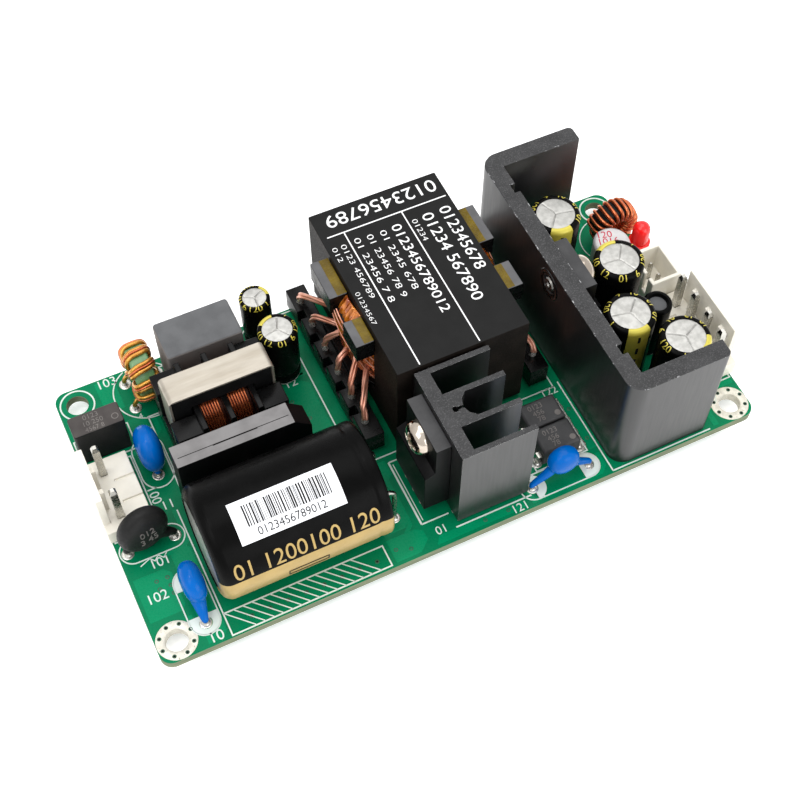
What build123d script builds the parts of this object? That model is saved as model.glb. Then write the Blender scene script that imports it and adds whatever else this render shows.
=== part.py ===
from build123d import *
import os

os.makedirs("parts", exist_ok=True)

# Open-board switched-mode power supply: mains in at -X, direct outputs at +X.
# Origin at the middle of the board's underside, +Y to the far long edge, +Z up.
# Sizes are in millimetres. Parts of each end keep their distance from that end's edge.

# Board and its joints
board_length = 101.6
board_width = 50.8
board_thickness = 1.6
board_corner_radius = 2.0
mounting_hole_inset = 3.175
mounting_hole_diameter = 3.5
lead_size = 0.7
solder_radius = 0.8
lead_tip_length = 1.8
running_clearance = 0.1

# Mains inlet
fuse_length = 8.0
fuse_thickness = 3.8
fuse_height = 8.0
header_pitch = 3.96
header_depth = 7.3
header_base_height = 3.0
header_wall_height = 10.4
header_wall_thickness = 1.15
header_pin_size = 1.14
header_pin_height = 10.8
header_pin_inset = 2.95
inlet_pin_positions = 3
outlet_pin_positions = 4
varistor_diameter = 7.6
varistor_thickness = 3.9
thermistor_diameter = 8.0
thermistor_thickness = 4.0
inlet_y_diameter = 6.6
bridging_y_diameter = 5.2
y_capacitor_thickness = 3.5
x_capacitor_length = 12.4
x_capacitor_width = 7.2
x_capacitor_height = 12.3

# Line choke and common-mode choke
line_core_outer_diameter = 8.6
line_core_inner_diameter = 4.4
line_core_width = 3.2
line_wire_diameter = 0.7
mode_core_length = 16.0
mode_core_height = 10.2
mode_core_depth = 4.4
mode_core_leg = 3.0
mode_core_lift = 4.8
mode_winding_radius = 4.8
mode_flange_width = 13.0
mode_flange_thickness = 0.9
mode_tower_height = 10.4
mode_strap_thickness = 0.4
mode_strap_width = 4.8

# Rectifier, bulk and supply capacitors
bridge_length = 21.0
bridge_thickness = 3.8
bridge_height = 13.6
bridge_chamfer = 2.6
bulk_diameter = 18.0
bulk_length = 26.8
bulk_label_inset = 4.6
bulk_label_length = 16.0
bulk_label_arc = 44.0
supply_capacitor_diameter = 5.0
supply_capacitor_height = 11.0
gate_capacitor_diameter = 6.3
gate_capacitor_height = 11.5

# Transformer
core_width = 22.0
core_length = 32.3
core_height = 19.5
core_plate_thickness = 3.9
core_centre_leg_diameter = 13.4
core_window_diameter = 27.0
core_lift = 0.75
bobbin_flange_thickness = 0.9
bobbin_rail_length = 31.6
bobbin_rail_width = 3.3
bobbin_rail_height = 4.2
transformer_pin_pitch = 5.08
transformer_pins_per_side = 6
winding_diameter = 25.0
label_thickness = 0.15
lead_wire_diameter = 0.9

# Transistor, its heatsink, optocouplers
package_width = 10.0
package_height = 16.1
package_tab_thickness = 2.5
package_body_thickness = 4.2
package_step_height = 9.3
package_hole_drop = 3.1
package_lead_pitch = 2.54
screw_head_diameter = 5.6
screw_head_height = 1.9
screw_diameter = 3.0
screw_length = 5.6
primary_sink_width = 16.0
primary_sink_depth = 12.2
primary_sink_height = 19.0
primary_sink_spine = 2.2
primary_sink_fin = 0.85
primary_sink_slot = 4.4
opto_length = 4.6
opto_width = 6.5
opto_height = 3.4
opto_row_pitch = 7.62

# Output side
secondary_sink_length = 49.6
secondary_sink_depth = 17.0
secondary_sink_height = 21.4
secondary_sink_wall = 3.0
secondary_sink_corner_radius = 2.8
output_capacitor_diameter = 8.2
output_capacitor_height = 16.1
polymer_capacitor_diameter = 6.3
polymer_capacitor_height = 8.0
rod_diameter = 4.8
rod_height = 12.0
output_core_outer_diameter = 7.6
output_core_inner_diameter = 3.8
output_core_width = 3.2
output_wire_diameter = 0.7
led_diameter = 3.0
led_height = 5.4
led_lift = 3.0
auxiliary_length = 7.4
auxiliary_depth = 5.75
auxiliary_height = 7.0
auxiliary_wall = 0.7
auxiliary_pitch = 2.5

inlet_edge = -board_length / 2
outlet_edge = board_length / 2
near_edge = -board_width / 2
far_edge = board_width / 2
top = board_thickness
solder_spots = []


def centred(x, y, z):
    """Place for a shape that stands on height z."""
    return Locations((x, y, z))


def arc_point(radius, angle):
    """Point on a circle about the sketch's origin."""
    return Vector(radius, 0).rotate(Axis.Z, angle)


def block(length, width, height):
    """Box standing on its place."""
    return Box(length, width, height, align=(Align.CENTER, Align.CENTER, Align.MIN))


def post(radius, height):
    """Round post standing on its place."""
    return Cylinder(radius, height, align=(Align.CENTER, Align.CENTER, Align.MIN))


def leads(spots, height, size=lead_size):
    """Square leads that stand on the board, each over its own solder joint."""
    for x, y in spots:
        with centred(x, y, top):
            block(size, size, height)
    solder_spots.extend(spots)


def can(base, radial, radius, length, crimped=False):
    """Electrolytic can on its rubber end, with the sleeve's turned edge and a crimp groove."""
    groove = length * 0.12
    crimp = [(radius, groove - 0.6), (radius - 0.5, groove), (radius, groove + 0.6)] if crimped else []
    outline = [(0, 0), (radius, 0), *crimp, (radius, length - 0.5), (radius - 0.5, length), (0, length)]
    side = Plane(origin=base, x_dir=radial, z_dir=(0, -1, 0))
    with BuildSketch(side) as half:
        with BuildLine():
            Polyline(*outline, close=True)
        make_face()
    revolve(half.sketch, axis=Axis(side.origin, side.y_dir))


def disc(centre, normal, diameter, thickness, feet, foot_height=1.0):
    """Dipped disc part: a lens with two coated legs that taper down to short stubs."""
    face = Plane(origin=centre, z_dir=normal)
    with BuildSketch(face.offset(-thickness / 2)) as lens:
        Circle(diameter / 2)
    extrude(lens.sketch, amount=thickness)
    chamfer(edges().filter_by(GeomType.CIRCLE), length=thickness * 0.3)
    middle = Vector(*centre)
    for x, y in feet:
        low = Vector(x, y, top + foot_height + 0.4)
        inward = (middle - low).normalized()
        high = middle - inward * (diameter * 0.34)
        with BuildSketch(Plane(origin=low, z_dir=inward)) as ankle:
            Rectangle(0.9, 0.9)
        with BuildSketch(Plane(origin=high, z_dir=inward)) as hip:
            Rectangle(2.0, 2.0)
        loft([ankle.sketch, hip.sketch], ruled=True)
        with centred(x, y, top + foot_height):
            block(0.9, 0.9, 0.5)


def ring_section(plane, inner, outer, width):
    """Rectangular section of a ring whose axis runs along the plane's own x."""
    with BuildSketch(plane) as section:
        with Locations((0, (inner + outer) / 2)):
            Rectangle(width, outer - inner)
    return section.sketch


def wound_section(plane, inner, outer, width, wire):
    """Section of a wire layer that wraps all round a ring's section."""
    hug = running_clearance / 2
    with BuildSketch(plane) as section:
        with Locations((0, (inner + outer) / 2)):
            Rectangle(width + 2 * wire + 2 * hug, outer - inner + 2 * wire + 2 * hug)
            Rectangle(width + 2 * hug, outer - inner + 2 * hug, mode=Mode.SUBTRACT)
    return section.sketch


def header(pin_x, facing, centre_y, positions):
    """Friction-lock wire header; facing is the side of its wall, -1 or +1."""
    length = header_pitch * (positions - 1)
    outer = pin_x + facing * header_pin_inset
    base_x = outer - facing * header_depth / 2
    wall_x = outer - facing * header_wall_thickness / 2
    with centred(base_x, centre_y, top):
        block(header_depth, length + 4.9, header_base_height)
    with centred(wall_x, centre_y, top):
        block(header_wall_thickness, length + 1.6, header_wall_height)
    for step in range(positions - 1):
        y = centre_y + (step - (positions - 2) / 2) * header_pitch
        rib_x = outer - facing * (header_wall_thickness + 0.35)
        with centred(rib_x, y, top + header_base_height):
            block(0.7, 0.9, header_wall_height - header_base_height - 2.2)
        with centred(base_x - facing * header_depth * 0.28, y, top + header_base_height - 0.3):
            Box(header_depth * 0.45, 0.4, 0.3, align=(Align.CENTER, Align.CENTER, Align.MIN),
                mode=Mode.SUBTRACT)


def header_holes(spots, size, height):
    """Holes that the pins fill."""
    for x, y in spots:
        with centred(x, y, top):
            Box(size, size, height, align=(Align.CENTER, Align.CENTER, Align.MIN), mode=Mode.SUBTRACT)


def pins(spots, size, height):
    """Square pins with tapered tips, standing on the board."""
    tip_height = size * 0.7
    for x, y in spots:
        with centred(x, y, top):
            block(size, size, height - tip_height)
        with BuildSketch(Plane.XY.offset(top + height - tip_height)) as tip:
            with Locations((x, y)):
                Rectangle(size, size)
        extrude(tip.sketch, amount=tip_height, taper=18)
    solder_spots.extend(spots)


def power_package(face_x, facing, centre_y, bottom):
    """Full-moulded power package lying on a heatsink face, with its screw hole."""
    rise = (package_body_thickness - package_tab_thickness) * 0.5
    head_room = package_height - package_hole_drop - screw_head_diameter / 2 - running_clearance
    step = min(package_step_height, head_room - rise)
    outline = [
        (0, bottom), (package_body_thickness, bottom),
        (package_body_thickness, bottom + step), (package_tab_thickness, bottom + step + rise),
        (package_tab_thickness, bottom + package_height), (0, bottom + package_height),
    ]
    points = [(face_x + facing * out, z) for out, z in outline]
    with BuildSketch(Plane.XZ.offset(-centre_y - package_width / 2)) as side:
        with BuildLine():
            Polyline(*points, close=True)
        make_face()
    extrude(side.sketch, amount=package_width)
    hole = Plane(origin=(face_x, centre_y, bottom + package_height - package_hole_drop),
                 z_dir=(facing, 0, 0))
    with BuildSketch(hole) as bore:
        Circle(screw_diameter / 2 + running_clearance)
    extrude(bore.sketch, amount=package_body_thickness, mode=Mode.SUBTRACT)


def package_leads(face_x, facing, centre_y, bottom):
    """Three leads from the package's lower end to the board."""
    x = face_x + facing * (package_tab_thickness + 0.2)
    spots = [(x, centre_y + step * package_lead_pitch) for step in (-1, 0, 1)]
    leads(spots, bottom - top)


def package_screw(face_x, facing, centre_y, bottom):
    """Pan-head screw through the package into the heatsink."""
    seat = face_x + facing * package_tab_thickness
    z = bottom + package_height - package_hole_drop
    with BuildSketch(Plane(origin=(seat, centre_y, z), z_dir=(facing, 0, 0))) as head:
        Circle(screw_head_diameter / 2)
    extrude(head.sketch, amount=screw_head_height)
    crown = edges().filter_by(GeomType.CIRCLE).sort_by(Axis.X)
    chamfer(crown[-1] if facing > 0 else crown[0], length=screw_head_height * 0.4)
    with BuildSketch(Plane(origin=(seat, centre_y, z), z_dir=(-facing, 0, 0))) as shank:
        Circle(screw_diameter / 2)
    extrude(shank.sketch, amount=screw_length)


# Board
with BuildPart() as circuit_board:
    with BuildSketch():
        RectangleRounded(board_length, board_width, board_corner_radius)
        with GridLocations(board_length - 2 * mounting_hole_inset,
                           board_width - 2 * mounting_hole_inset, 2, 2):
            Circle(mounting_hole_diameter / 2, mode=Mode.SUBTRACT)
    extrude(amount=board_thickness)

# Boxed fuse in the far corner of the inlet end
fuse_x = inlet_edge + 4.6
fuse_y = far_edge - 12.1
with BuildPart() as fuse:
    with centred(fuse_x, fuse_y, top):
        block(fuse_length, fuse_thickness, fuse_height)
    fillet(edges().filter_by(Axis.Z), radius=0.4)
solder_spots.extend([(fuse_x - 2.54, fuse_y), (fuse_x + 2.54, fuse_y)])

# Inlet header: the middle position has no pin
inlet_pin_x = inlet_edge + header_pin_inset - 0.25
inlet_y = 3.0
inlet_reach = header_pitch * (inlet_pin_positions - 1) / 2
inlet_spots = [(inlet_pin_x, inlet_y - inlet_reach), (inlet_pin_x, inlet_y + inlet_reach)]
with BuildPart() as inlet_header:
    header(inlet_pin_x, -1, inlet_y, inlet_pin_positions)
    header_holes(inlet_spots, header_pin_size, header_base_height)

with BuildPart() as inlet_pins:
    pins(inlet_spots, header_pin_size, header_pin_height)

# Varistor, thermistor and the two safety capacitors, on wire leads
varistor_x = inlet_edge + 10.4
varistor_y = far_edge - 18.1
varistor_feet = [(varistor_x, varistor_y - 2.5), (varistor_x, varistor_y + 2.5)]
with BuildPart() as varistor:
    disc((varistor_x, varistor_y, top + varistor_diameter / 2 + 0.5), (1, 0, 0),
         varistor_diameter, varistor_thickness, varistor_feet, 0.7)

thermistor_x = inlet_edge + 5.25
thermistor_y = near_edge + 19.3
thermistor_feet = [(thermistor_x - 3.75, thermistor_y), (thermistor_x + 3.75, thermistor_y)]
with BuildPart() as thermistor:
    disc((thermistor_x - 0.5, thermistor_y + 0.6, top + thermistor_diameter / 2 + 0.7), (0, -0.94, 0.34),
         thermistor_diameter, thermistor_thickness, thermistor_feet, 0.8)

inlet_y_x = inlet_edge + 8.0
inlet_y_capacitor_y = near_edge + 7.65
inlet_y_feet = [(inlet_y_x, inlet_y_capacitor_y - 3.75), (inlet_y_x, inlet_y_capacitor_y + 3.75)]
with BuildPart() as inlet_y_capacitor:
    disc((inlet_y_x + 0.3, inlet_y_capacitor_y + 1.2, top + inlet_y_diameter / 2 + 1.0), (1, 0, 0),
         inlet_y_diameter, y_capacitor_thickness, inlet_y_feet, 0.8)

bridging_x = 16.1
bridging_y = near_edge + 3.1
bridging_feet = [(bridging_x - 5.0, bridging_y), (bridging_x + 5.0, bridging_y)]
with BuildPart() as bridging_y_capacitor:
    disc((bridging_x, bridging_y, top + bridging_y_diameter / 2 + 2.7), (0, -1, 0),
         bridging_y_diameter, y_capacitor_thickness, bridging_feet, 0.6)

with BuildPart() as disc_leads:
    leads(varistor_feet, 0.7)
    leads(thermistor_feet, 0.8)
    leads(inlet_y_feet, 0.8)
    leads(bridging_feet, 0.6)

# Line choke: a small upright ring, wound in two halves
line_choke_centre = (inlet_edge + 14.1, far_edge - 5.1, top + 5.6)
line_choke_axis = Axis(line_choke_centre, (1, 0, 0))
line_inner = line_core_inner_diameter / 2
line_outer = line_core_outer_diameter / 2
with BuildPart() as line_choke_core:
    line_ring_plane = Plane(origin=line_choke_centre, x_dir=(1, 0, 0), z_dir=(0, -1, 0))
    revolve(ring_section(line_ring_plane, line_inner, line_outer, line_core_width),
            axis=line_choke_axis)

line_side = line_core_width / 2 + line_wire_diameter + running_clearance / 2 + lead_size / 2
line_spots = [(line_choke_centre[0] + sx * line_side, line_choke_centre[1] + sy * 2.5)
              for sx in (-1, 1) for sy in (-1, 1)]
with BuildPart() as line_choke_winding:
    for start in (15, 195):
        wire_section = wound_section(line_ring_plane.rotated((start, 0, 0)), line_inner, line_outer,
                                     line_core_width, line_wire_diameter)
        revolve(wire_section, axis=line_choke_axis, revolution_arc=150)
    leads(line_spots, line_choke_centre[2] - top - line_inner)

# Boxed film capacitor across the line
x_capacitor_x = inlet_edge + 24.1
x_capacitor_y = far_edge - 5.8
with BuildPart() as x_capacitor:
    with centred(x_capacitor_x, x_capacitor_y, top):
        block(x_capacitor_length, x_capacitor_width, x_capacitor_height)
    fillet(edges().filter_by(Axis.Z), radius=0.5)
solder_spots.extend([(x_capacitor_x - 5.0, x_capacitor_y), (x_capacitor_x + 5.0, x_capacitor_y)])

# Common-mode choke: two U cores closed by a strap, with the coils on the lower leg
mode_x = inlet_edge + 23.2
mode_y = far_edge - 16.7
mode_bottom = top + mode_core_lift
mode_leg_z = mode_bottom + mode_core_leg / 2
mode_span = mode_core_length - 2 * mode_core_leg
with BuildPart() as common_mode_core:
    with centred(mode_x, mode_y, mode_bottom):
        block(mode_core_length, mode_core_depth, mode_core_height)
    with centred(mode_x, mode_y, mode_bottom + mode_core_leg):
        Box(mode_span, mode_core_depth, mode_core_height - 2 * mode_core_leg,
            align=(Align.CENTER, Align.CENTER, Align.MIN), mode=Mode.SUBTRACT)

with BuildPart() as common_mode_strap:
    with centred(mode_x, mode_y, mode_bottom):
        block(mode_core_length + 2 * mode_strap_thickness, mode_strap_width,
              mode_core_height + mode_strap_thickness)
    fillet(edges().filter_by(Axis.Y).group_by(Axis.Z)[-1], radius=0.8)
    with centred(mode_x, mode_y, mode_bottom):
        Box(mode_core_length, mode_strap_width, mode_core_height,
            align=(Align.CENTER, Align.CENTER, Align.MIN), mode=Mode.SUBTRACT)

mode_tube_wall = 0.7
mode_tube_depth = mode_core_depth + 2 * running_clearance + 2 * mode_tube_wall
mode_tube_height = mode_core_leg + 2 * running_clearance + 2 * mode_tube_wall
mode_flange_height = mode_core_lift + mode_core_height - mode_core_leg - running_clearance - 0.6
mode_flanges = [mode_x - mode_span / 2 + mode_flange_thickness / 2 + running_clearance, mode_x,
                mode_x + mode_span / 2 - mode_flange_thickness / 2 - running_clearance]
mode_foot_reach = mode_core_length / 2 + 0.9
with BuildPart() as common_mode_bobbin:
    for x in mode_flanges:
        with centred(x, mode_y, top + 0.6):
            block(mode_flange_thickness, mode_flange_width, mode_flange_height)
    with Locations((mode_x, mode_y, mode_leg_z)):
        Box(mode_span - 2 * running_clearance, mode_tube_depth, mode_tube_height)
    for side in (-1, 1):
        foot_length = mode_foot_reach - mode_span / 2 + mode_flange_thickness
        foot_x = mode_x + side * (mode_foot_reach - foot_length / 2)
        for end in (-1, 1):
            with centred(foot_x, mode_y + end * (mode_flange_width / 2 - 1.9), top + 0.6):
                block(foot_length, 3.8, mode_tower_height)
        with centred(foot_x, mode_y, top + 0.6):
            block(foot_length, mode_flange_width - 2, mode_core_lift - 0.6 - running_clearance)
    with centred(mode_x, mode_y, mode_bottom - running_clearance):
        Box(mode_core_length, mode_core_depth + 2 * running_clearance,
            mode_core_leg + 2 * running_clearance,
            align=(Align.CENTER, Align.CENTER, Align.MIN), mode=Mode.SUBTRACT)

mode_spots = [(mode_x + sx * (mode_foot_reach - 1.2), mode_y + sy * (mode_flange_width / 2 - 1.9))
              for sx in (-1, 1) for sy in (-1, 1)]
with BuildPart() as common_mode_pins:
    leads(mode_spots, 0.6)

with BuildPart() as common_mode_winding:
    coil = (mode_span - 3 * mode_flange_thickness - 2 * running_clearance) / 2 - 2 * running_clearance
    for side in (-1, 1):
        middle = mode_x + side * (mode_flange_thickness / 2 + running_clearance + coil / 2)
        with Locations(Plane(origin=(middle, mode_y, mode_leg_z), z_dir=(1, 0, 0))):
            Cylinder(mode_winding_radius, coil)
        with Locations((middle, mode_y, mode_leg_z)):
            Box(coil, mode_tube_depth, mode_tube_height, mode=Mode.SUBTRACT)

# Bridge rectifier, upright, with its positive end chamfered
bridge_x = inlet_edge + 22.8
bridge_y = -1.9
bridge_lift = 0.8
with BuildPart() as bridge_rectifier:
    with centred(bridge_x, bridge_y, top + bridge_lift):
        block(bridge_length, bridge_thickness, bridge_height)
    chamfer(edges().filter_by(Axis.Y).sort_by(Axis.X)[-2:].sort_by(Axis.Z)[-1], length=bridge_chamfer)
    with Locations(Plane(origin=(bridge_x, bridge_y - bridge_thickness / 2,
                                 top + bridge_lift + bridge_height / 2), z_dir=(0, -1, 0))):
        post(0.8, 0.35)
bridge_spots = [(bridge_x + step * 5.08, bridge_y) for step in (-1.5, -0.5, 0.5, 1.5)]
with BuildPart() as bridge_leads:
    leads(bridge_spots, bridge_lift, 0.9)

# Bulk capacitor, lying along the board with its leads bent down at the rubber end
bulk_rear_x = inlet_edge + 11.3 + bulk_length
bulk_y = near_edge + 11.4
bulk_z = top + bulk_diameter / 2
with BuildPart() as bulk_capacitor:
    can((bulk_rear_x, bulk_y, bulk_z), (0, 0, 1), bulk_diameter / 2, bulk_length, crimped=True)
with BuildPart() as bulk_leads:
    for end in (-1, 1):
        y = bulk_y + end * 3.75
        with BuildLine(Plane.XZ.offset(-y)):
            FilletPolyline((bulk_rear_x, bulk_z), (bulk_rear_x + 2.2, bulk_z),
                           (bulk_rear_x + 2.2, top), radius=1.0)
        with BuildSketch(Plane(origin=(bulk_rear_x, y, bulk_z), z_dir=(1, 0, 0))):
            Rectangle(0.8, 0.8)
        sweep()
        solder_spots.append((bulk_rear_x + 2.2, y))

bulk_label_end = Plane(origin=(bulk_rear_x - bulk_length + bulk_label_inset, bulk_y, bulk_z),
                       x_dir=(0, 1, 0), z_dir=(1, 0, 0))
label_first = 92
label_last = label_first + bulk_label_arc
with BuildPart() as bulk_label:
    with BuildSketch(bulk_label_end):
        with BuildLine():
            CenterArc((0, 0), bulk_diameter / 2, label_first, bulk_label_arc)
            CenterArc((0, 0), bulk_diameter / 2 + label_thickness, label_first, bulk_label_arc)
            for angle in (label_first, label_last):
                Line(arc_point(bulk_diameter / 2, angle),
                     arc_point(bulk_diameter / 2 + label_thickness, angle))
        make_face()
    extrude(amount=bulk_label_length)

# Two small capacitors of the control supply
supply_x = -16.2
supply_y = far_edge - 3.1
gate_x = -15.4
gate_y = far_edge - 10.6
with BuildPart() as supply_capacitor:
    can((supply_x, supply_y, top), (1, 0, 0), supply_capacitor_diameter / 2, supply_capacitor_height)
with BuildPart() as gate_capacitor:
    can((gate_x, gate_y, top), (1, 0, 0), gate_capacitor_diameter / 2, gate_capacitor_height)
solder_spots.extend([(supply_x - 1.0, supply_y), (supply_x + 1.0, supply_y)])
solder_spots.extend([(gate_x - 1.25, gate_y), (gate_x + 1.25, gate_y)])

# Transformer: a core with a round middle leg and two outer legs, standing on its bobbin's rails
core_x = 6.4
core_y = 10.0
core_bottom = top + core_lift
window_bottom = core_bottom + core_plate_thickness
window_height = core_height - 2 * core_plate_thickness
window_top = window_bottom + window_height
with BuildPart() as transformer_core:
    for z in (core_bottom, window_top):
        with centred(core_x, core_y, z):
            block(core_width, core_length, core_plate_thickness)
    with BuildSketch(Plane.XY.offset(window_bottom)):
        with Locations((core_x, core_y)):
            Rectangle(core_width, core_length)
            Circle(core_window_diameter / 2, mode=Mode.SUBTRACT)
            Circle(core_centre_leg_diameter / 2)
    extrude(amount=window_height)

tube_inner = core_centre_leg_diameter / 2 + running_clearance
tube_outer = tube_inner + 1.0
flange_radius = core_window_diameter / 2 - 3 * running_clearance
rail_x = flange_radius - 0.3 + bobbin_rail_width / 2
pin_reach = transformer_pin_pitch * (transformer_pins_per_side - 1) / 2
pin_steps = [n * transformer_pin_pitch - pin_reach for n in range(transformer_pins_per_side)]
with BuildPart() as transformer_bobbin:
    with centred(core_x, core_y, window_bottom + running_clearance):
        post(flange_radius, bobbin_flange_thickness)
        post(tube_outer, window_height - 2 * running_clearance)
    with centred(core_x, core_y, window_top - running_clearance - bobbin_flange_thickness):
        post(flange_radius, bobbin_flange_thickness)
    for side in (-1, 1):
        web_inner = core_width / 2 + running_clearance
        web = rail_x - bobbin_rail_width / 2 + 0.6 - web_inner
        web_x = core_x + side * (web_inner + web / 2)
        with centred(web_x, core_y, window_bottom - 1.0):
            block(web, 13.0, 1.0 + running_clearance + bobbin_flange_thickness)
        with centred(core_x + side * rail_x, core_y, top + 0.6):
            block(bobbin_rail_width, bobbin_rail_length, bobbin_rail_height)
        for step in pin_steps[:-1]:
            gap_x = core_x + side * (rail_x + bobbin_rail_width / 2 - 0.6)
            with centred(gap_x, core_y + step + transformer_pin_pitch / 2, top + 2.2):
                Box(1.2, 1.5, bobbin_rail_height,
                    align=(Align.CENTER, Align.CENTER, Align.MIN), mode=Mode.SUBTRACT)
        for middle, width in ((4.95, 7.5), (-6.1, 5.0)):
            with centred(core_x + side * (web_inner + 1.5), core_y + middle,
                         window_top - running_clearance - bobbin_flange_thickness):
                block(3.0, width, 3.8)
    with centred(core_x, core_y, window_bottom):
        Cylinder(tube_inner, window_height, align=(Align.CENTER, Align.CENTER, Align.MIN),
                 mode=Mode.SUBTRACT)

coil_bottom = window_bottom + running_clearance + bobbin_flange_thickness
coil_height = window_height - 2 * running_clearance - 2 * bobbin_flange_thickness
with BuildPart() as transformer_winding:
    with BuildSketch(Plane.XY.offset(coil_bottom)):
        with Locations((core_x, core_y)):
            Circle(winding_diameter / 2)
            Circle(tube_outer, mode=Mode.SUBTRACT)
    extrude(amount=coil_height)

with BuildPart() as transformer_label:
    with centred(core_x, core_y, core_bottom):
        block(core_width, core_length + 2 * label_thickness, core_height + label_thickness)
        Box(core_width, core_length, core_height,
            align=(Align.CENTER, Align.CENTER, Align.MIN), mode=Mode.SUBTRACT)

transformer_spots = [(core_x + side * rail_x, core_y + step) for side in (-1, 1) for step in pin_steps]
with BuildPart() as transformer_pins:
    leads(transformer_spots, 0.6, 0.8)

wire_radius = lead_wire_diameter / 2
wire_start = winding_diameter / 2 + wire_radius
wire_side_limit = (wire_start ** 2 - (core_width / 2 + lead_wire_diameter) ** 2) ** 0.5
with BuildPart() as transformer_lead_wires:
    for side in (-1, 1):
        for step in pin_steps:
            start_y = max(-wire_side_limit, min(wire_side_limit, step * 0.45))
            start_x = (wire_start ** 2 - start_y ** 2) ** 0.5
            first = (core_x + side * start_x, core_y + start_y, coil_bottom + coil_height * 0.3)
            knee = (core_x + side * (rail_x + 0.3), core_y + step, coil_bottom + 1.6)
            last = (core_x + side * (rail_x + 0.3), core_y + step, top + 0.6 + bobbin_rail_height)
            with BuildLine():
                Polyline(first, knee, last)
            with BuildSketch(Plane(origin=last, z_dir=(Vector(*knee) - Vector(*last)))):
                RegularPolygon(wire_radius, 6)
            sweep(transition=Transition.RIGHT)

# Heatsink of the power transistor: four fins on a spine and a screw channel between the middle two
spine_face_x = -2.15
primary_sink_y = near_edge + 2.6 + primary_sink_width / 2
primary_sink_bottom = top + 0.8
transistor_y = primary_sink_y + 0.3
transistor_bottom = top + 2.3
transistor_hole_z = transistor_bottom + package_height - package_hole_drop
slot_half = primary_sink_slot / 2
channel_x = spine_face_x + primary_sink_spine + 0.65
mouth_x = spine_face_x + primary_sink_spine + 3.5
with BuildPart() as primary_heatsink:
    with BuildSketch(Plane.XY.offset(primary_sink_bottom)):
        with Locations((spine_face_x + primary_sink_spine / 2, primary_sink_y)):
            Rectangle(primary_sink_spine, primary_sink_width)
        for edge in (-1, 1):
            for start in (slot_half, primary_sink_width / 2 - primary_sink_fin):
                with Locations((spine_face_x + primary_sink_depth / 2,
                                primary_sink_y + edge * (start + primary_sink_fin / 2))):
                    Rectangle(primary_sink_depth, primary_sink_fin)
        with Locations(((spine_face_x + mouth_x) / 2, primary_sink_y)):
            Rectangle(mouth_x - spine_face_x, primary_sink_slot)
        with BuildLine():
            Polyline((channel_x, primary_sink_y - 0.25), (mouth_x - 1.6, primary_sink_y - 0.25),
                     (mouth_x - 1.2, primary_sink_y - slot_half * 0.6),
                     (mouth_x - 0.3, primary_sink_y - slot_half),
                     (mouth_x, primary_sink_y - slot_half), (mouth_x, primary_sink_y + slot_half),
                     (mouth_x - 0.3, primary_sink_y + slot_half),
                     (mouth_x - 1.2, primary_sink_y + slot_half * 0.6),
                     (mouth_x - 1.6, primary_sink_y + 0.25), (channel_x, primary_sink_y + 0.25),
                     close=True)
        make_face(mode=Mode.SUBTRACT)
        with Locations((channel_x, primary_sink_y)):
            Circle(0.5, mode=Mode.SUBTRACT)
    extrude(amount=primary_sink_height)
    with BuildSketch(Plane(origin=(spine_face_x, transistor_y, transistor_hole_z), z_dir=(1, 0, 0))):
        Circle(screw_diameter / 2)
    extrude(amount=mouth_x - spine_face_x, mode=Mode.SUBTRACT)

primary_sink_spots = [(spine_face_x + primary_sink_spine / 2, primary_sink_y + end * primary_sink_width * 0.36)
                      for end in (-1, 1)]
with BuildPart() as primary_heatsink_pins:
    leads(primary_sink_spots, primary_sink_bottom - top, 1.4)

with BuildPart() as power_transistor:
    power_package(spine_face_x, -1, transistor_y, transistor_bottom)
with BuildPart() as transistor_leads:
    package_leads(spine_face_x, -1, transistor_y, transistor_bottom)
with BuildPart() as transistor_screw:
    package_screw(spine_face_x, -1, transistor_y, transistor_bottom)

# Two optocouplers carry the feedback across the isolation gap
opto_x = 17.7
opto_lift = 0.6
opto_rows = [near_edge + 13.0, near_edge + 8.1]


def optocoupler(y):
    """Four-lead moulded body with a shallow draft on its ends."""
    with centred(opto_x, y, top + opto_lift):
        block(opto_width, opto_length, opto_height)
    chamfer(edges().group_by(Axis.Z)[-1], length=0.35)


with BuildPart() as optocoupler_1:
    optocoupler(opto_rows[0])
with BuildPart() as optocoupler_2:
    optocoupler(opto_rows[1])
with BuildPart() as optocoupler_leads:
    for row in opto_rows:
        for side in (-1, 1):
            for step in (-1.27, 1.27):
                shoulder = (opto_row_pitch - opto_width) / 2 + 0.15
                shoulder_x = opto_x + side * (opto_width / 2 + shoulder / 2)
                with centred(shoulder_x, row + step, top + opto_lift + opto_height * 0.45):
                    block(shoulder, 1.1, 0.3)
                with centred(opto_x + side * opto_row_pitch / 2, row + step, top):
                    block(0.3, 0.6, opto_lift + opto_height * 0.45)
                solder_spots.append((opto_x + side * opto_row_pitch / 2, row + step))

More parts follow.
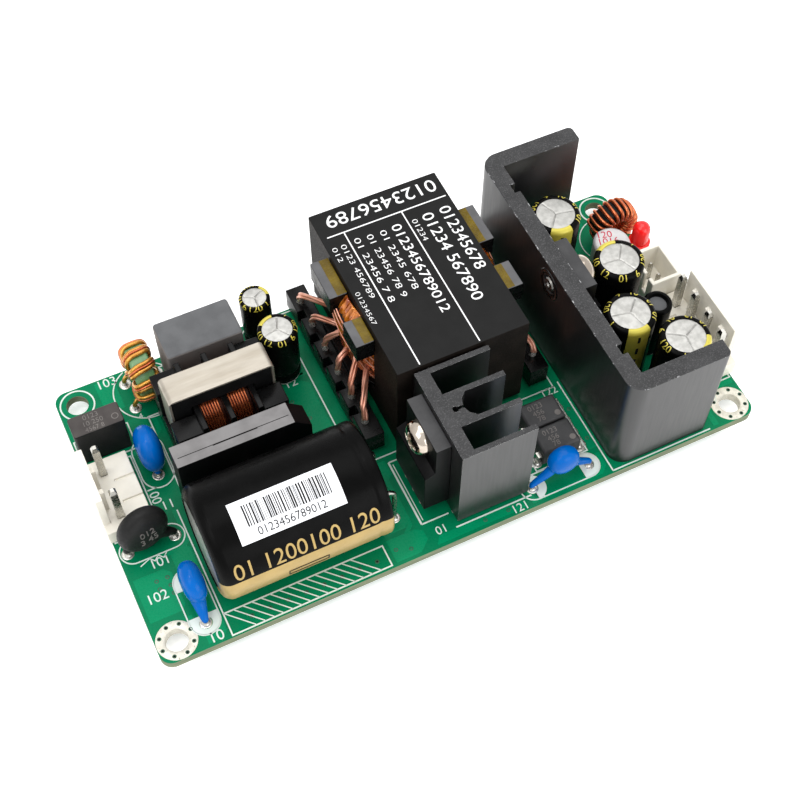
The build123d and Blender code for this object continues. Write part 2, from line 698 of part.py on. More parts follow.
# Heatsink of the output rectifier: a channel extrusion across the board
sink_plate_x = outlet_edge - 26.15
sink_y = 0.2
sink_inner_x = sink_plate_x + secondary_sink_wall
rectifier_y = 0.6
rectifier_bottom = top + 4.5
with BuildPart() as secondary_heatsink:
    with BuildSketch(Plane.XY.offset(top)):
        with Locations((sink_plate_x + secondary_sink_depth / 2, sink_y)):
            Rectangle(secondary_sink_depth, secondary_sink_length)
        fillet(vertices().group_by(Axis.X)[0], radius=secondary_sink_corner_radius)
        fillet(vertices().group_by(Axis.X)[-1], radius=0.9)
        with Locations((sink_inner_x + secondary_sink_depth / 2, sink_y)):
            Rectangle(secondary_sink_depth, secondary_sink_length - 2 * secondary_sink_wall,
                      mode=Mode.SUBTRACT)
        for end in (-1, 1):
            with Locations((sink_inner_x, sink_y + end * secondary_sink_length * 0.343)):
                Rectangle(1.8, 1.7, mode=Mode.SUBTRACT)
    extrude(amount=secondary_sink_height)
    hole_z = rectifier_bottom + package_height - package_hole_drop
    with BuildSketch(Plane(origin=(sink_plate_x, rectifier_y, hole_z), z_dir=(1, 0, 0))):
        Circle(screw_diameter / 2)
    extrude(amount=secondary_sink_wall, mode=Mode.SUBTRACT)
for end in (-1, 1):
    solder_spots.append((sink_plate_x + secondary_sink_wall / 2, sink_y + end * secondary_sink_length * 0.4))

with BuildPart() as output_rectifier:
    power_package(sink_inner_x, 1, rectifier_y, rectifier_bottom)
with BuildPart() as rectifier_leads:
    package_leads(sink_inner_x, 1, rectifier_y, rectifier_bottom)
with BuildPart() as rectifier_screw:
    package_screw(sink_inner_x, 1, rectifier_y, rectifier_bottom)

# Output capacitors, spread along the inside of the channel
sink_inner_length = secondary_sink_length - 2 * secondary_sink_wall
output_places = [(outlet_edge - 17.6, sink_y + 0.307 * sink_inner_length),
                 (outlet_edge - 12.8, sink_y + 0.023 * sink_inner_length),
                 (outlet_edge - 16.5, sink_y - 0.202 * sink_inner_length),
                 (outlet_edge - 10.95, sink_y - 0.372 * sink_inner_length)]


def output_can(number):
    """One of the output capacitors; its leads come out beneath it."""
    x, y = output_places[number]
    can((x, y, top), (1, 0, 0), output_capacitor_diameter / 2, output_capacitor_height)
    solder_spots.extend([(x - 1.75, y), (x + 1.75, y)])


with BuildPart() as output_capacitor_1:
    output_can(0)
with BuildPart() as output_capacitor_2:
    output_can(1)
with BuildPart() as output_capacitor_3:
    output_can(2)
with BuildPart() as output_capacitor_4:
    output_can(3)

polymer_x = outlet_edge - 8.0
polymer_y = far_edge - 15.6
with BuildPart() as polymer_capacitor:
    can((polymer_x, polymer_y, top), (1, 0, 0), polymer_capacitor_diameter / 2, polymer_capacitor_height)
solder_spots.extend([(polymer_x - 1.25, polymer_y), (polymer_x + 1.25, polymer_y)])

# Rod choke with a hollow top, and the upright output ring choke
rod_x = outlet_edge - 9.5
rod_y = -6.4
with BuildPart() as rod_inductor:
    with centred(rod_x, rod_y, top):
        post(rod_diameter / 2, rod_height)
    with centred(rod_x, rod_y, top + rod_height - 0.8):
        Cylinder(rod_diameter / 2 - 0.6, 0.8, align=(Align.CENTER, Align.CENTER, Align.MIN),
                 mode=Mode.SUBTRACT)
solder_spots.extend([(rod_x, rod_y - 1.25), (rod_x, rod_y + 1.25)])

output_choke_centre = (outlet_edge - 4.3, far_edge - 9.9, top + 4.9)
output_choke_axis = Axis(output_choke_centre, (0, 1, 0))
output_ring_plane = Plane(origin=output_choke_centre, x_dir=(0, 1, 0), z_dir=(1, 0, 0))
output_inner = output_core_inner_diameter / 2
output_outer = output_core_outer_diameter / 2
with BuildPart() as output_choke_core:
    revolve(ring_section(output_ring_plane, output_inner, output_outer, output_core_width),
            axis=output_choke_axis)

output_side = output_core_width / 2 + output_wire_diameter + running_clearance / 2 + lead_size / 2
output_choke_spots = [(output_choke_centre[0] - 1.6, output_choke_centre[1] - output_side),
                      (output_choke_centre[0] + 1.6, output_choke_centre[1] + output_side)]
with BuildPart() as output_choke_winding:
    wire_section = wound_section(output_ring_plane, output_inner, output_outer,
                                 output_core_width, output_wire_diameter)
    revolve(wire_section, axis=output_choke_axis, revolution_arc=330)
    leads(output_choke_spots, output_choke_centre[2] - top - output_inner)

# Indicator lamp
led_x = outlet_edge - 1.6
led_y = far_edge - 14.8
led_spots = [(led_x, led_y - 1.27), (led_x, led_y + 1.27)]
with BuildPart() as indicator_led:
    with centred(led_x, led_y, top + led_lift):
        post(led_diameter / 2 + 0.4, 1.0)
        post(led_diameter / 2, led_height)
    chamfer(edges().group_by(Axis.Z)[-1], length=led_diameter * 0.22)
with BuildPart() as led_leads:
    leads(led_spots, led_lift, 0.5)

# Outlet headers
outlet_pin_x = outlet_edge - header_pin_inset + 0.6
outlet_y = -9.0
outlet_spots = [(outlet_pin_x, outlet_y + (n - (outlet_pin_positions - 1) / 2) * header_pitch)
                for n in range(outlet_pin_positions)]
with BuildPart() as outlet_header:
    header(outlet_pin_x, 1, outlet_y, outlet_pin_positions)
    header_holes(outlet_spots, header_pin_size, header_base_height)
with BuildPart() as outlet_pins:
    pins(outlet_spots, header_pin_size, header_pin_height)

auxiliary_x = outlet_edge - 3.1
auxiliary_y = 3.3
auxiliary_spots = [(auxiliary_x, auxiliary_y - auxiliary_pitch / 2),
                   (auxiliary_x, auxiliary_y + auxiliary_pitch / 2)]
with BuildPart() as auxiliary_header:
    with centred(auxiliary_x, auxiliary_y, top):
        block(auxiliary_depth, auxiliary_length, auxiliary_height)
    with centred(auxiliary_x, auxiliary_y, top + 1.8):
        Box(auxiliary_depth - 2 * auxiliary_wall, auxiliary_length - 2 * auxiliary_wall,
            auxiliary_height, align=(Align.CENTER, Align.CENTER, Align.MIN), mode=Mode.SUBTRACT)
    for end in (-1, 1):
        with centred(auxiliary_x - auxiliary_depth / 2, auxiliary_y + end * 1.6, top + 3.0):
            Box(1.7, 1.1, auxiliary_height, align=(Align.CENTER, Align.CENTER, Align.MIN),
                mode=Mode.SUBTRACT)
    header_holes(auxiliary_spots, 0.64, 1.8)
with BuildPart() as auxiliary_pins:
    pins(auxiliary_spots, 0.64, 5.6)

# Underside: the switching controller and its chip parts
with BuildPart() as controller_chip:
    with Locations((-14.0, 5.0, -0.75)):
        Box(4.9, 3.9, 1.5)
with BuildPart() as chip_parts:
    for spot in ((-14.0, 0.5), (-14.0, -2.0), (-25.5, 6.0), (-25.5, 9.0), (12.0, -2.0), (12.0, -5.0),
                 (18.0, 2.0), (14.0, 5.0), (33.0, 4.0), (36.0, 7.0)):
        with Locations((spot[0], spot[1], -0.3)):
            Box(2.0, 1.25, 0.6)

# Solder joints: one under every lead, narrowing down to the cut lead's tip
with BuildPart() as solder_joint:
    foot = 2 * solder_radius
    tip_start = solder_radius - lead_size / 2
    tip_stop = solder_radius + lead_size / 2
    Wedge(foot, lead_tip_length, foot, tip_start, tip_start, tip_stop, tip_stop,
          rotation=(-90, 0, 0), align=(Align.CENTER, Align.MIN, Align.CENTER))
with BuildPart() as solder_joints:
    with Locations(*[(x, y, 0) for x, y in solder_spots]):
        add(solder_joint.part)

nodes = {
    "circuit_board": circuit_board,
    "solder_joints": solder_joints,
    "fuse": fuse,
    "inlet_header": inlet_header,
    "inlet_pins": inlet_pins,
    "varistor": varistor,
    "thermistor": thermistor,
    "inlet_y_capacitor": inlet_y_capacitor,
    "bridging_y_capacitor": bridging_y_capacitor,
    "disc_leads": disc_leads,
    "line_choke_core": line_choke_core,
    "line_choke_winding": line_choke_winding,
    "x_capacitor": x_capacitor,
    "common_mode_core": common_mode_core,
    "common_mode_strap": common_mode_strap,
    "common_mode_bobbin": common_mode_bobbin,
    "common_mode_pins": common_mode_pins,
    "common_mode_winding": common_mode_winding,
    "bridge_rectifier": bridge_rectifier,
    "bridge_leads": bridge_leads,
    "bulk_capacitor": bulk_capacitor,
    "bulk_leads": bulk_leads,
    "bulk_label": bulk_label,
    "supply_capacitor": supply_capacitor,
    "gate_capacitor": gate_capacitor,
    "transformer_core": transformer_core,
    "transformer_bobbin": transformer_bobbin,
    "transformer_winding": transformer_winding,
    "transformer_label": transformer_label,
    "transformer_pins": transformer_pins,
    "transformer_lead_wires": transformer_lead_wires,
    "primary_heatsink": primary_heatsink,
    "primary_heatsink_pins": primary_heatsink_pins,
    "power_transistor": power_transistor,
    "transistor_leads": transistor_leads,
    "transistor_screw": transistor_screw,
    "optocoupler_1": optocoupler_1,
    "optocoupler_2": optocoupler_2,
    "optocoupler_leads": optocoupler_leads,
    "secondary_heatsink": secondary_heatsink,
    "output_rectifier": output_rectifier,
    "rectifier_leads": rectifier_leads,
    "rectifier_screw": rectifier_screw,
    "output_capacitor_1": output_capacitor_1,
    "output_capacitor_2": output_capacitor_2,
    "output_capacitor_3": output_capacitor_3,
    "output_capacitor_4": output_capacitor_4,
    "polymer_capacitor": polymer_capacitor,
    "rod_inductor": rod_inductor,
    "output_choke_core": output_choke_core,
    "output_choke_winding": output_choke_winding,
    "indicator_led": indicator_led,
    "led_leads": led_leads,
    "outlet_header": outlet_header,
    "outlet_pins": outlet_pins,
    "auxiliary_header": auxiliary_header,
    "auxiliary_pins": auxiliary_pins,
    "controller_chip": controller_chip,
    "chip_parts": chip_parts,
}
for name, node in nodes.items():
    node.part.label = name
    export_step(node.part, "parts/" + name + ".step")
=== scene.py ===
import math

import bmesh
import bpy
import numpy as np
from bpy.props import FloatProperty, FloatVectorProperty, IntProperty, PointerProperty
from mathutils import Matrix, Vector


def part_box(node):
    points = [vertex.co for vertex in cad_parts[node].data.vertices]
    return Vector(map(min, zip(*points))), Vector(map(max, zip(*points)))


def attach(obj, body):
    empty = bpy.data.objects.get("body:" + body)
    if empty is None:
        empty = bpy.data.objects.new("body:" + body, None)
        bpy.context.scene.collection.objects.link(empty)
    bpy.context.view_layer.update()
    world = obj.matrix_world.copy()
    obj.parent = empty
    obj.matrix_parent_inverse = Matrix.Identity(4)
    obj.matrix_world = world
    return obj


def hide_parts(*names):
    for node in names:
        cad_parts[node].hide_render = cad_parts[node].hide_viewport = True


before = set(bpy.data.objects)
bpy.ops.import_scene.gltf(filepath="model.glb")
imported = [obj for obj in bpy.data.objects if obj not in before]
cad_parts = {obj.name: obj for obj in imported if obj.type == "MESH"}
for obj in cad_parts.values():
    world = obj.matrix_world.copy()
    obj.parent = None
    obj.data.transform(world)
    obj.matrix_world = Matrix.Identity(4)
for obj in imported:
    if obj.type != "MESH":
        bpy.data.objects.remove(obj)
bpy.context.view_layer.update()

bl_info = {
    "name": "Power Supply Board",
    "version": (1, 0, 0),
    "blender": (4, 5, 0),
    "location": "View3D > Sidebar > Power Supply",
    "description": "Dresses an open-frame power supply board: parts, windings, prints and finishes",
    "category": "Object",
}

MM = 0.001
BOARD_TOP = 1.6
TAU = 2 * math.pi
# Edges sharper than this, in degrees, are rounded
EDGE_ANGLE = 30
# How far prints, pads and leads reach into their surface, and how far flat prints stand out
SUNK = 0.02
PRINT = 0.02


def linear(code):
    """Linear red, green and blue of a six-digit sRGB code."""
    values = np.array([int(code[i:i + 2], 16) for i in (0, 2, 4)]) / 255
    bent = ((values + 0.055) / 1.055) ** 2.4
    return tuple(np.where(values <= 0.04045, values / 12.92, bent).tolist())


# ---------------------------------------------------------------- settings

def colour_property(name, description, code):
    """A colour setting with its default from an sRGB code."""
    return FloatVectorProperty(name=name, description=description, subtype="COLOR", size=3,
                               min=0, max=1, default=linear(code))


class BoardColours(bpy.types.PropertyGroup):
    """Colours that a user is likely to change."""
    mask: colour_property("Solder mask", "Mask over bare laminate", "00784f")
    mask_copper: colour_property("Mask on copper", "Mask where copper lies under it", "00875a")
    sleeve: colour_property("Sleeves", "Shrink sleeves of the capacitors", "060606")
    gold: colour_property("Sleeve print", "Print and stripe of the main capacitor", "b2975a")
    rim: colour_property("Rim print", "Print and stripe of the upright capacitors", "d0c24c")
    nylon: colour_property("Headers", "Nylon of the wire headers", "ece7da")
    dip: colour_property("Dipped discs", "Coating of the disc capacitors", "005eb4")
    anodised: colour_property("Heatsinks", "Anodised aluminium", "131314")


class BoardSizes(bpy.types.PropertyGroup):
    """Sizes of the details that the finish adds."""
    edge: FloatProperty(name="Edge rounding", description="Rounding of moulded edges, in metres",
                        default=0.00015, min=0, max=0.0005, subtype="DISTANCE", unit="LENGTH",
                        precision=5)
    print_lift: FloatProperty(name="Print thickness",
                              description="Height of prints over their surface",
                              default=0.00003, min=0, max=0.0002, subtype="DISTANCE",
                              unit="LENGTH", precision=5)
    columns: IntProperty(name="Round columns", description="Columns of a can's turned surface",
                         default=144, min=24, max=360)


class StageSettings(bpy.types.PropertyGroup):
    """Light and floor."""
    key: FloatProperty(name="Key light", description="Power of the large light on the left",
                       default=1.2, min=0, max=20, subtype="POWER", unit="POWER")
    top: FloatProperty(name="Top light", description="Power of the light overhead",
                       default=2.0, min=0, max=20, subtype="POWER", unit="POWER")
    front: FloatProperty(name="Front light", description="Power of the light in front",
                         default=1.9, min=0, max=20, subtype="POWER", unit="POWER")
    glint: FloatProperty(name="Glint", description="Power of the small light that gives highlights",
                         default=0.3, min=0, max=5, subtype="POWER", unit="POWER")
    sky: FloatProperty(name="Ambient light", description="Strength of the world",
                       default=1.05, min=0, max=2)
    floor: colour_property("Floor", "Colour of the floor", "f4f4f4")


# ---------------------------------------------------------------- finishes

def new_group(name, inputs, outputs):
    """An empty shader node group with named sockets, and its input and output nodes."""
    group = bpy.data.node_groups.new(name, "ShaderNodeTree")
    for direction, sockets in (("INPUT", inputs), ("OUTPUT", outputs)):
        for socket, kind in sockets:
            group.interface.new_socket(socket, in_out=direction, socket_type="NodeSocket" + kind)
    return group, group.nodes.new("NodeGroupInput"), group.nodes.new("NodeGroupOutput")


def map_range(nodes, links, value, low, high, to_low, to_high):
    """A Map Range node; each argument is a number or a socket."""
    node = nodes.new("ShaderNodeMapRange")
    for socket, given in zip(("Value", "From Min", "From Max", "To Min", "To Max"),
                             (value, low, high, to_low, to_high)):
        if isinstance(given, (int, float)):
            node.inputs[socket].default_value = given
        else:
            links.new(given, node.inputs[socket])
    return node.outputs["Result"]


def mix_colours(nodes, links, factor, first, second):
    """The mix of two colour sockets by a factor socket."""
    mix = nodes.new("ShaderNodeMix")
    mix.data_type = "RGBA"
    for value, socket in ((factor, "Factor"), (first, "A"), (second, "B")):
        links.new(value, mix.inputs[socket])
    return mix.outputs["Result"]


def surface_grain():
    """Broad noise mixes two colours; fine noise gives the roughness and the bump height."""
    if "surface grain" in bpy.data.node_groups:
        return bpy.data.node_groups["surface grain"]
    group, source, sink = new_group(
        "surface grain",
        (("Colour", "Color"), ("Second colour", "Color"), ("Patch scale", "Float"),
         ("Grain scale", "Float"), ("Low roughness", "Float"), ("High roughness", "Float"),
         ("Stretch", "Vector")),
        (("Colour", "Color"), ("Roughness", "Float"), ("Height", "Float")))
    nodes, links = group.nodes, group.links
    place = nodes.new("ShaderNodeTexCoord")
    stretch = nodes.new("ShaderNodeVectorMath")
    stretch.operation = "MULTIPLY"
    links.new(place.outputs["Object"], stretch.inputs[0])
    links.new(source.outputs["Stretch"], stretch.inputs[1])
    noises = []
    for scale, detail in (("Patch scale", 4), ("Grain scale", 2)):
        noise = nodes.new("ShaderNodeTexNoise")
        noise.inputs["Detail"].default_value = detail
        links.new(stretch.outputs[0], noise.inputs["Vector"])
        links.new(source.outputs[scale], noise.inputs["Scale"])
        noises.append(noise.outputs["Fac"])
    broad, fine = noises
    share = map_range(nodes, links, broad, 0.38, 0.62, 0, 1)
    links.new(mix_colours(nodes, links, share, source.outputs["Colour"],
                          source.outputs["Second colour"]), sink.inputs["Colour"])
    links.new(map_range(nodes, links, fine, 0.35, 0.65, source.outputs["Low roughness"],
                        source.outputs["High roughness"]), sink.inputs["Roughness"])
    links.new(fine, sink.inputs["Height"])
    return group


def speckle():
    """Flecks of a second colour where a noise passes an edge, which a larger share lowers."""
    if "speckle" in bpy.data.node_groups:
        return bpy.data.node_groups["speckle"]
    group, source, sink = new_group(
        "speckle",
        (("Colour", "Color"), ("Fleck colour", "Color"), ("Scale", "Float"), ("Share", "Float")),
        (("Colour", "Color"),))
    nodes, links = group.nodes, group.links
    place = nodes.new("ShaderNodeTexCoord")
    noise = nodes.new("ShaderNodeTexNoise")
    noise.inputs["Detail"].default_value = 5
    noise.inputs["Roughness"].default_value = 0.7
    links.new(place.outputs["Object"], noise.inputs["Vector"])
    links.new(source.outputs["Scale"], noise.inputs["Scale"])
    edge = nodes.new("ShaderNodeMath")
    edge.operation = "SUBTRACT"
    edge.inputs[0].default_value = 0.75
    links.new(source.outputs["Share"], edge.inputs[1])
    full = nodes.new("ShaderNodeMath")
    full.inputs[1].default_value = 0.04
    links.new(edge.outputs[0], full.inputs[0])
    share = map_range(nodes, links, noise.outputs["Fac"], edge.outputs[0], full.outputs[0], 0, 1)
    links.new(mix_colours(nodes, links, share, source.outputs["Colour"],
                          source.outputs["Fleck colour"]), sink.inputs["Colour"])
    return group


# what a finish has where its row says nothing else: scales of the two noises, the bump's depth
# in millimetres, and flecks as colour, scale and share
USUAL = dict(metallic=0.0, coat=0.0, specular=0.5, patch=350, grain=3000, depth=0.006,
             stretch=(1, 1, 1), flecks=None)
# colour, second colour, roughness low and high, then what differs from the usual
FINISHES = {
    "board edge": ("7f866a", "66705a", 0.6, 0.8,
                   dict(stretch=(0.2, 0.2, 6), patch=900, specular=0.2)),
    "white ink": ("d9e2dc", "cdd8d1", 0.5, 0.6, {}),
    "faint ink": ("75716e", "64605e", 0.5, 0.6, dict(specular=0.1)),
    "label ink": ("f0f0f0", "e6e6e6", 0.45, 0.55, {}),
    "red ink": ("c2183c", "b01030", 0.5, 0.6, {}),
    "black ink": ("161616", "202020", 0.45, 0.6, dict(specular=0.2)),
    "solder": ("dcdad4", "c2bfb6", 0.22, 0.34, dict(metallic=0.75, patch=250, depth=0.004)),
    "plated ring": ("dedacd", "cbc7ba", 0.4, 0.5, dict(metallic=0.25, patch=1400, depth=0.012,
                                                       flecks=("8f8b80", 2600, 0.13))),
    "tinned metal": ("c6c4bd", "b2b0a9", 0.2, 0.34, dict(metallic=1.0, patch=700)),
    "via": ("26593f", "1d4a34", 0.4, 0.5, {}),
    "dark case": ("202021", "1a1a1b", 0.42, 0.55, dict(grain=5000, depth=0.01, specular=0.12)),
    "printed case": ("4c4846", "413d3c", 0.45, 0.58, dict(grain=5000, depth=0.01, specular=0.15)),
    "grey case": ("716d6b", "6c6866", 0.5, 0.62, dict(grain=5000, depth=0.012, specular=0.2)),
    "grey fill": ("5d5e60", "545557", 0.5, 0.6, dict(grain=3500, depth=0.01, specular=0.3)),
    "black plastic": ("080808", "0d0d0e", 0.22, 0.34, dict(grain=700, depth=0.006, specular=0.16)),
    "epoxy": ("0a0a0b", "0e0e0f", 0.36, 0.46, dict(grain=6000, depth=0.004, specular=0.08)),
    # body colour of the optocouplers and chip parts, and painted light on the lit top faces of the
    # transistor and the output rectifier
    "grey epoxy and lit top": ("434344", "3a3a3b", 0.5, 0.6, dict(grain=6000, depth=0.01, specular=0.25)),
    "thermistor coat": ("161616", "1d1d1d", 0.4, 0.6, dict(grain=2500, depth=0.02, specular=0.2)),
    # painted light: a lighter grey for the bridge's top faces, which are lit
    "bridge top": ("7d7b7b", "706e6e", 0.5, 0.6, dict(grain=6000, depth=0.01, specular=0.3)),
    "green ferrite": ("5f8a5a", "507a4e", 0.3, 0.45, dict(coat=0.2)),
    "black ferrite": ("0d0d0e", "131314", 0.45, 0.6, dict(grain=4000, depth=0.01, specular=0.15)),
    "gold enamel": ("d39a3c", "bb7d2c", 0.2, 0.34, dict(metallic=0.75, coat=0.4)),
    "copper enamel": ("cf7446", "b85c34", 0.2, 0.34, dict(metallic=0.85, coat=0.3)),
    # painted shade: copper darkened where it shows between the outer turns of a coil
    "copper in painted shade": ("4a2012", "32140a", 0.35, 0.5, dict(metallic=0.6)),
    "litz copper": ("e0a58e", "bd7a60", 0.28, 0.42, dict(metallic=0.7, coat=0.3)),
    "steel strap": ("b3aca0", "a59d90", 0.34, 0.46,
                    dict(metallic=0.75, grain=1500, depth=0.006, patch=500, stretch=(0.2, 1.6, 1))),
    "aluminium": ("bdbcb8", "a9a8a4", 0.34, 0.5, dict(metallic=0.9, grain=4200, depth=0.012,
                                                      patch=1100)),
    "cut anodised": ("2a2a2b", "343435", 0.45, 0.6,
                     dict(grain=5000, depth=0.01, flecks=("4c4c4d", 5200, 0.2), specular=0.3)),
    # bare metal on the secondary heatsink's rounded edges, partly real wear, with painted glints:
    # its light flecks stand for highlights
    "edge metal and glints": ("2e2e2f", "3c3c3d", 0.3, 0.45,
             dict(grain=3000, flecks=("b4b4b6", 1500, 0.17), metallic=0.4)),
    # bare metal on the primary heatsink's rounded edges, partly real wear, with painted glints: its
    # near-white flecks stand for highlights
    "bright edge metal and glints": ("4a4a4b", "8a8a8c", 0.3, 0.45,
                    dict(grain=3000, patch=1200, flecks=("f2f2f2", 1300, 0.32), metallic=0.4)),
    "rubber": ("151414", "1c1a1a", 0.7, 0.85, dict(specular=0.2)),
    "amber tape": ("8a3606", "e08424", 0.1, 0.22,
                   dict(metallic=0.35, coat=0.7, stretch=(1, 1, 0.06), patch=900, grain=1500,
                        depth=0.1)),
    "tape end": ("6f5c0e", "594808", 0.2, 0.34, dict(patch=500, specular=0.2)),
    # painted light: a lighter grey for the top faces of the black bobbin's towers, which are lit
    "lit tower top": ("5c5c5e", "505052", 0.35, 0.5, dict(specular=0.3)),
    "transformer core": ("15110f", "1d1815", 0.45, 0.6,
                         dict(grain=3500, depth=0.01, specular=0.08)),
    "label film": ("191919", "1c1c1c", 0.42, 0.5, dict(grain=6000, depth=0.003, specular=0.1)),
    "sticker paper": ("f6f7fa", "eef0f4", 0.5, 0.6, dict(grain=5000, depth=0.004)),
    "chrome": ("c9bfb2", "b3a79a", 0.1, 0.2, dict(metallic=1.0)),
    "screw tip": ("8c8a86", "777571", 0.25, 0.4, dict(metallic=1.0)),
    "black ring": ("0a0a0a", "101010", 0.12, 0.25, dict(specular=0.5)),
    "red lens": ("f52020", "e61a1c", 0.12, 0.18, dict(patch=200, depth=0.001)),
    "can white": ("cbc8c8", "bebbbb", 0.35, 0.48, dict(metallic=0.25)),
}


def finish(name):
    """The named material: the grain group's colour, roughness and bump on a Principled shader."""
    if name + " finish" in bpy.data.materials:
        return bpy.data.materials[name + " finish"]
    colours = bpy.context.scene.board_colours
    # where the colour is a setting, the second colour is given as a factor on it
    chosen = {"solder mask": (colours.mask, 0.88, 0.26, 0.34, dict(patch=260, specular=0.07)),
              "mask on copper": (colours.mask_copper, 0.9, 0.24, 0.32,
                                 dict(patch=260, specular=0.07)),
              "sleeve": (colours.sleeve, 1.5, 0.24, 0.34,
                         dict(grain=500, depth=0.02, specular=0.05)),
              "gold print": (colours.gold, 0.9, 0.3, 0.42, dict(metallic=0.35, patch=500)),
              "rim print": (colours.rim, 0.9, 0.3, 0.42, dict(metallic=0.2, patch=500)),
              "nylon": (colours.nylon, 0.95, 0.3, 0.42, dict(coat=0.1, patch=500)),
              "blue dip": (colours.dip, 0.9, 0.1, 0.16,
                           dict(grain=700, depth=0.03, specular=0.12)),
              "anodised": (colours.anodised, 1.08, 0.3, 0.36,
                           dict(grain=2600, depth=0.002, stretch=(1, 1, 0.06), specular=0.6))}
    if name in chosen:
        base, factor, low, high, more = chosen[name]
        second = tuple(min(1, value * factor) for value in base)
    else:
        base, second, low, high, more = FINISHES[name]
        base, second = linear(base), linear(second)
    more = {**USUAL, **more}
    material = bpy.data.materials.new(name + " finish")
    material.use_nodes = True
    nodes, links = material.node_tree.nodes, material.node_tree.links
    shader, bump = nodes["Principled BSDF"], nodes.new("ShaderNodeBump")
    grain = nodes.new("ShaderNodeGroup")
    grain.node_tree = surface_grain()
    for node, socket, value in (
            (shader, "Metallic", more["metallic"]), (shader, "Coat Weight", more["coat"]),
            (shader, "Coat Roughness", 0.08), (shader, "Specular IOR Level", more["specular"]),
            (grain, "Colour", (*base, 1)), (grain, "Second colour", (*second, 1)),
            (grain, "Patch scale", more["patch"]), (grain, "Grain scale", more["grain"]),
            (grain, "Low roughness", low), (grain, "High roughness", high),
            (grain, "Stretch", more["stretch"]),
            (bump, "Strength", 0.6), (bump, "Distance", more["depth"] * MM)):
        node.inputs[socket].default_value = value
    colour = grain.outputs["Colour"]
    if more["flecks"]:
        code, scale, share = more["flecks"]
        flecks = nodes.new("ShaderNodeGroup")
        flecks.node_tree = speckle()
        links.new(colour, flecks.inputs["Colour"])
        flecks.inputs["Fleck colour"].default_value = (*linear(code), 1)
        flecks.inputs["Scale"].default_value = scale
        flecks.inputs["Share"].default_value = share
        colour = flecks.outputs["Colour"]
    links.new(colour, shader.inputs["Base Color"])
    links.new(grain.outputs["Roughness"], shader.inputs["Roughness"])
    links.new(grain.outputs["Height"], bump.inputs["Height"])
    links.new(bump.outputs["Normal"], shader.inputs["Normal"])
    return material


# ---------------------------------------------------------------- surfaces, in millimetres

# Rows of the frames in which a surface is turned: the third row is the axis
AXES = {"X": np.array([[0, 1, 0], [0, 0, 1], [1, 0, 0.0]]),
        "Y": np.array([[0, 0, 1], [1, 0, 0], [0, 1, 0.0]]),
        "Z": np.eye(3)}


class Shape:
    """Surfaces gathered for one mesh, with a finish number for each face."""

    def __init__(self, *finishes):
        self.finishes = finishes
        self.points, self.faces, self.numbers, self.size = [], [], [], 0

    def polygons(self, points, faces, numbers=0):
        """Points and faces as they are; numbers is one for all or one for each face."""
        points = np.asarray(points, float).reshape(-1, 3)
        self.points.append(points)
        self.faces.extend([[i + self.size for i in face] for face in faces])
        self.numbers.extend(np.broadcast_to(numbers, len(faces)).tolist())
        self.size += len(points)

    def grid(self, points, number=0, wrap=(False, True), ends=False):
        """Rows by columns of points; wrap joins the last row or column to the first, ends puts
        a face on the first and the last row, and number may be one for each row of faces or
        one for each face."""
        rows, columns = points.shape[:2]
        index = np.arange(rows * columns).reshape(rows, columns)
        if wrap[0]:
            index = np.vstack([index, index[:1]])
        if wrap[1]:
            index = np.hstack([index, index[:, :1]])
        quads = np.stack([index[:-1, :-1], index[1:, :-1], index[1:, 1:], index[:-1, 1:]], -1)
        faces = quads.reshape(-1, 4).tolist()
        number = np.asarray(number)
        if number.ndim < 2:
            number = number.reshape(-1, 1)
        numbers = np.broadcast_to(number, quads.shape[:2]).ravel().tolist()
        if ends:
            faces += [index[0, :columns][::-1].tolist(), index[-1, :columns].tolist()]
            numbers += [numbers[0], numbers[-1]]
        self.polygons(points, faces, numbers)

    def lathe(self, profile, centre, axes=AXES["Z"], columns=64, number=0):
        """Adds a turned surface."""
        self.grid(turned(profile, centre, axes, columns), number)

    def wire(self, path, radius, reference, sides, number=0):
        """Adds a tube with closed ends."""
        self.grid(tube(path, radius, reference, sides), number, ends=True)

    def piece(self, name, slot, replaced=(), sharp=35):
        """The mesh object: doubles merged, faces outwards, smooth up to the sharp angle."""
        mesh = bpy.data.meshes.new(name)
        mesh.from_pydata((np.concatenate(self.points) * MM).tolist(), [], self.faces)
        mesh.polygons.foreach_set("material_index", self.numbers)
        for label in self.finishes:
            mesh.materials.append(finish(label))
        form = bmesh.new()
        form.from_mesh(mesh)
        bmesh.ops.remove_doubles(form, verts=form.verts, dist=1e-7)
        bmesh.ops.recalc_face_normals(form, faces=form.faces)
        form.to_mesh(mesh)
        form.free()
        return seat(name, mesh, replaced, sharp)


def seat(name, mesh, replaced, sharp):
    """Links a mesh as a piece that rides on the board and stands for the replaced nodes."""
    mesh.shade_smooth()
    mesh.set_sharp_from_angle(angle=math.radians(sharp))
    piece = bpy.data.objects.new(name, mesh)
    bpy.context.scene.collection.objects.link(piece)
    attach(piece, "root")
    if replaced:
        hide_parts(*replaced)
    return piece


def box_mm(node):
    """Lowest and highest corner of a CAD node in millimetres."""
    low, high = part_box(node)
    return np.array(low) / MM, np.array(high) / MM

def upright(node):
    """Middle of an upright round node's foot, its radius and its height, in millimetres."""
    low, high = box_mm(node)
    x, y = (low + high)[:2] / 2
    return np.array([x, y, low[2]]), (high[0] - low[0]) / 2, high[2] - low[2]


def facing(normal, along=(0, 0, 1)):
    """Rows of a frame whose third direction is normal and whose second leans to along."""
    normal = np.array(normal, float) / np.linalg.norm(normal)
    side = np.cross(along, normal)
    side /= np.linalg.norm(side)
    return np.array([side, np.cross(normal, side), normal])


def turned(profile, centre, axes, columns=64):
    """Surface of revolution: each (radius, height) row is a ring about the frame's third axis."""
    radius, height = np.asarray(profile, float).T
    angle = np.linspace(0, TAU, columns, endpoint=False)
    points = np.stack([radius[:, None] * np.cos(angle), radius[:, None] * np.sin(angle),
                       np.repeat(height[:, None], columns, 1)], -1)
    return points @ axes + np.asarray(centre, float)


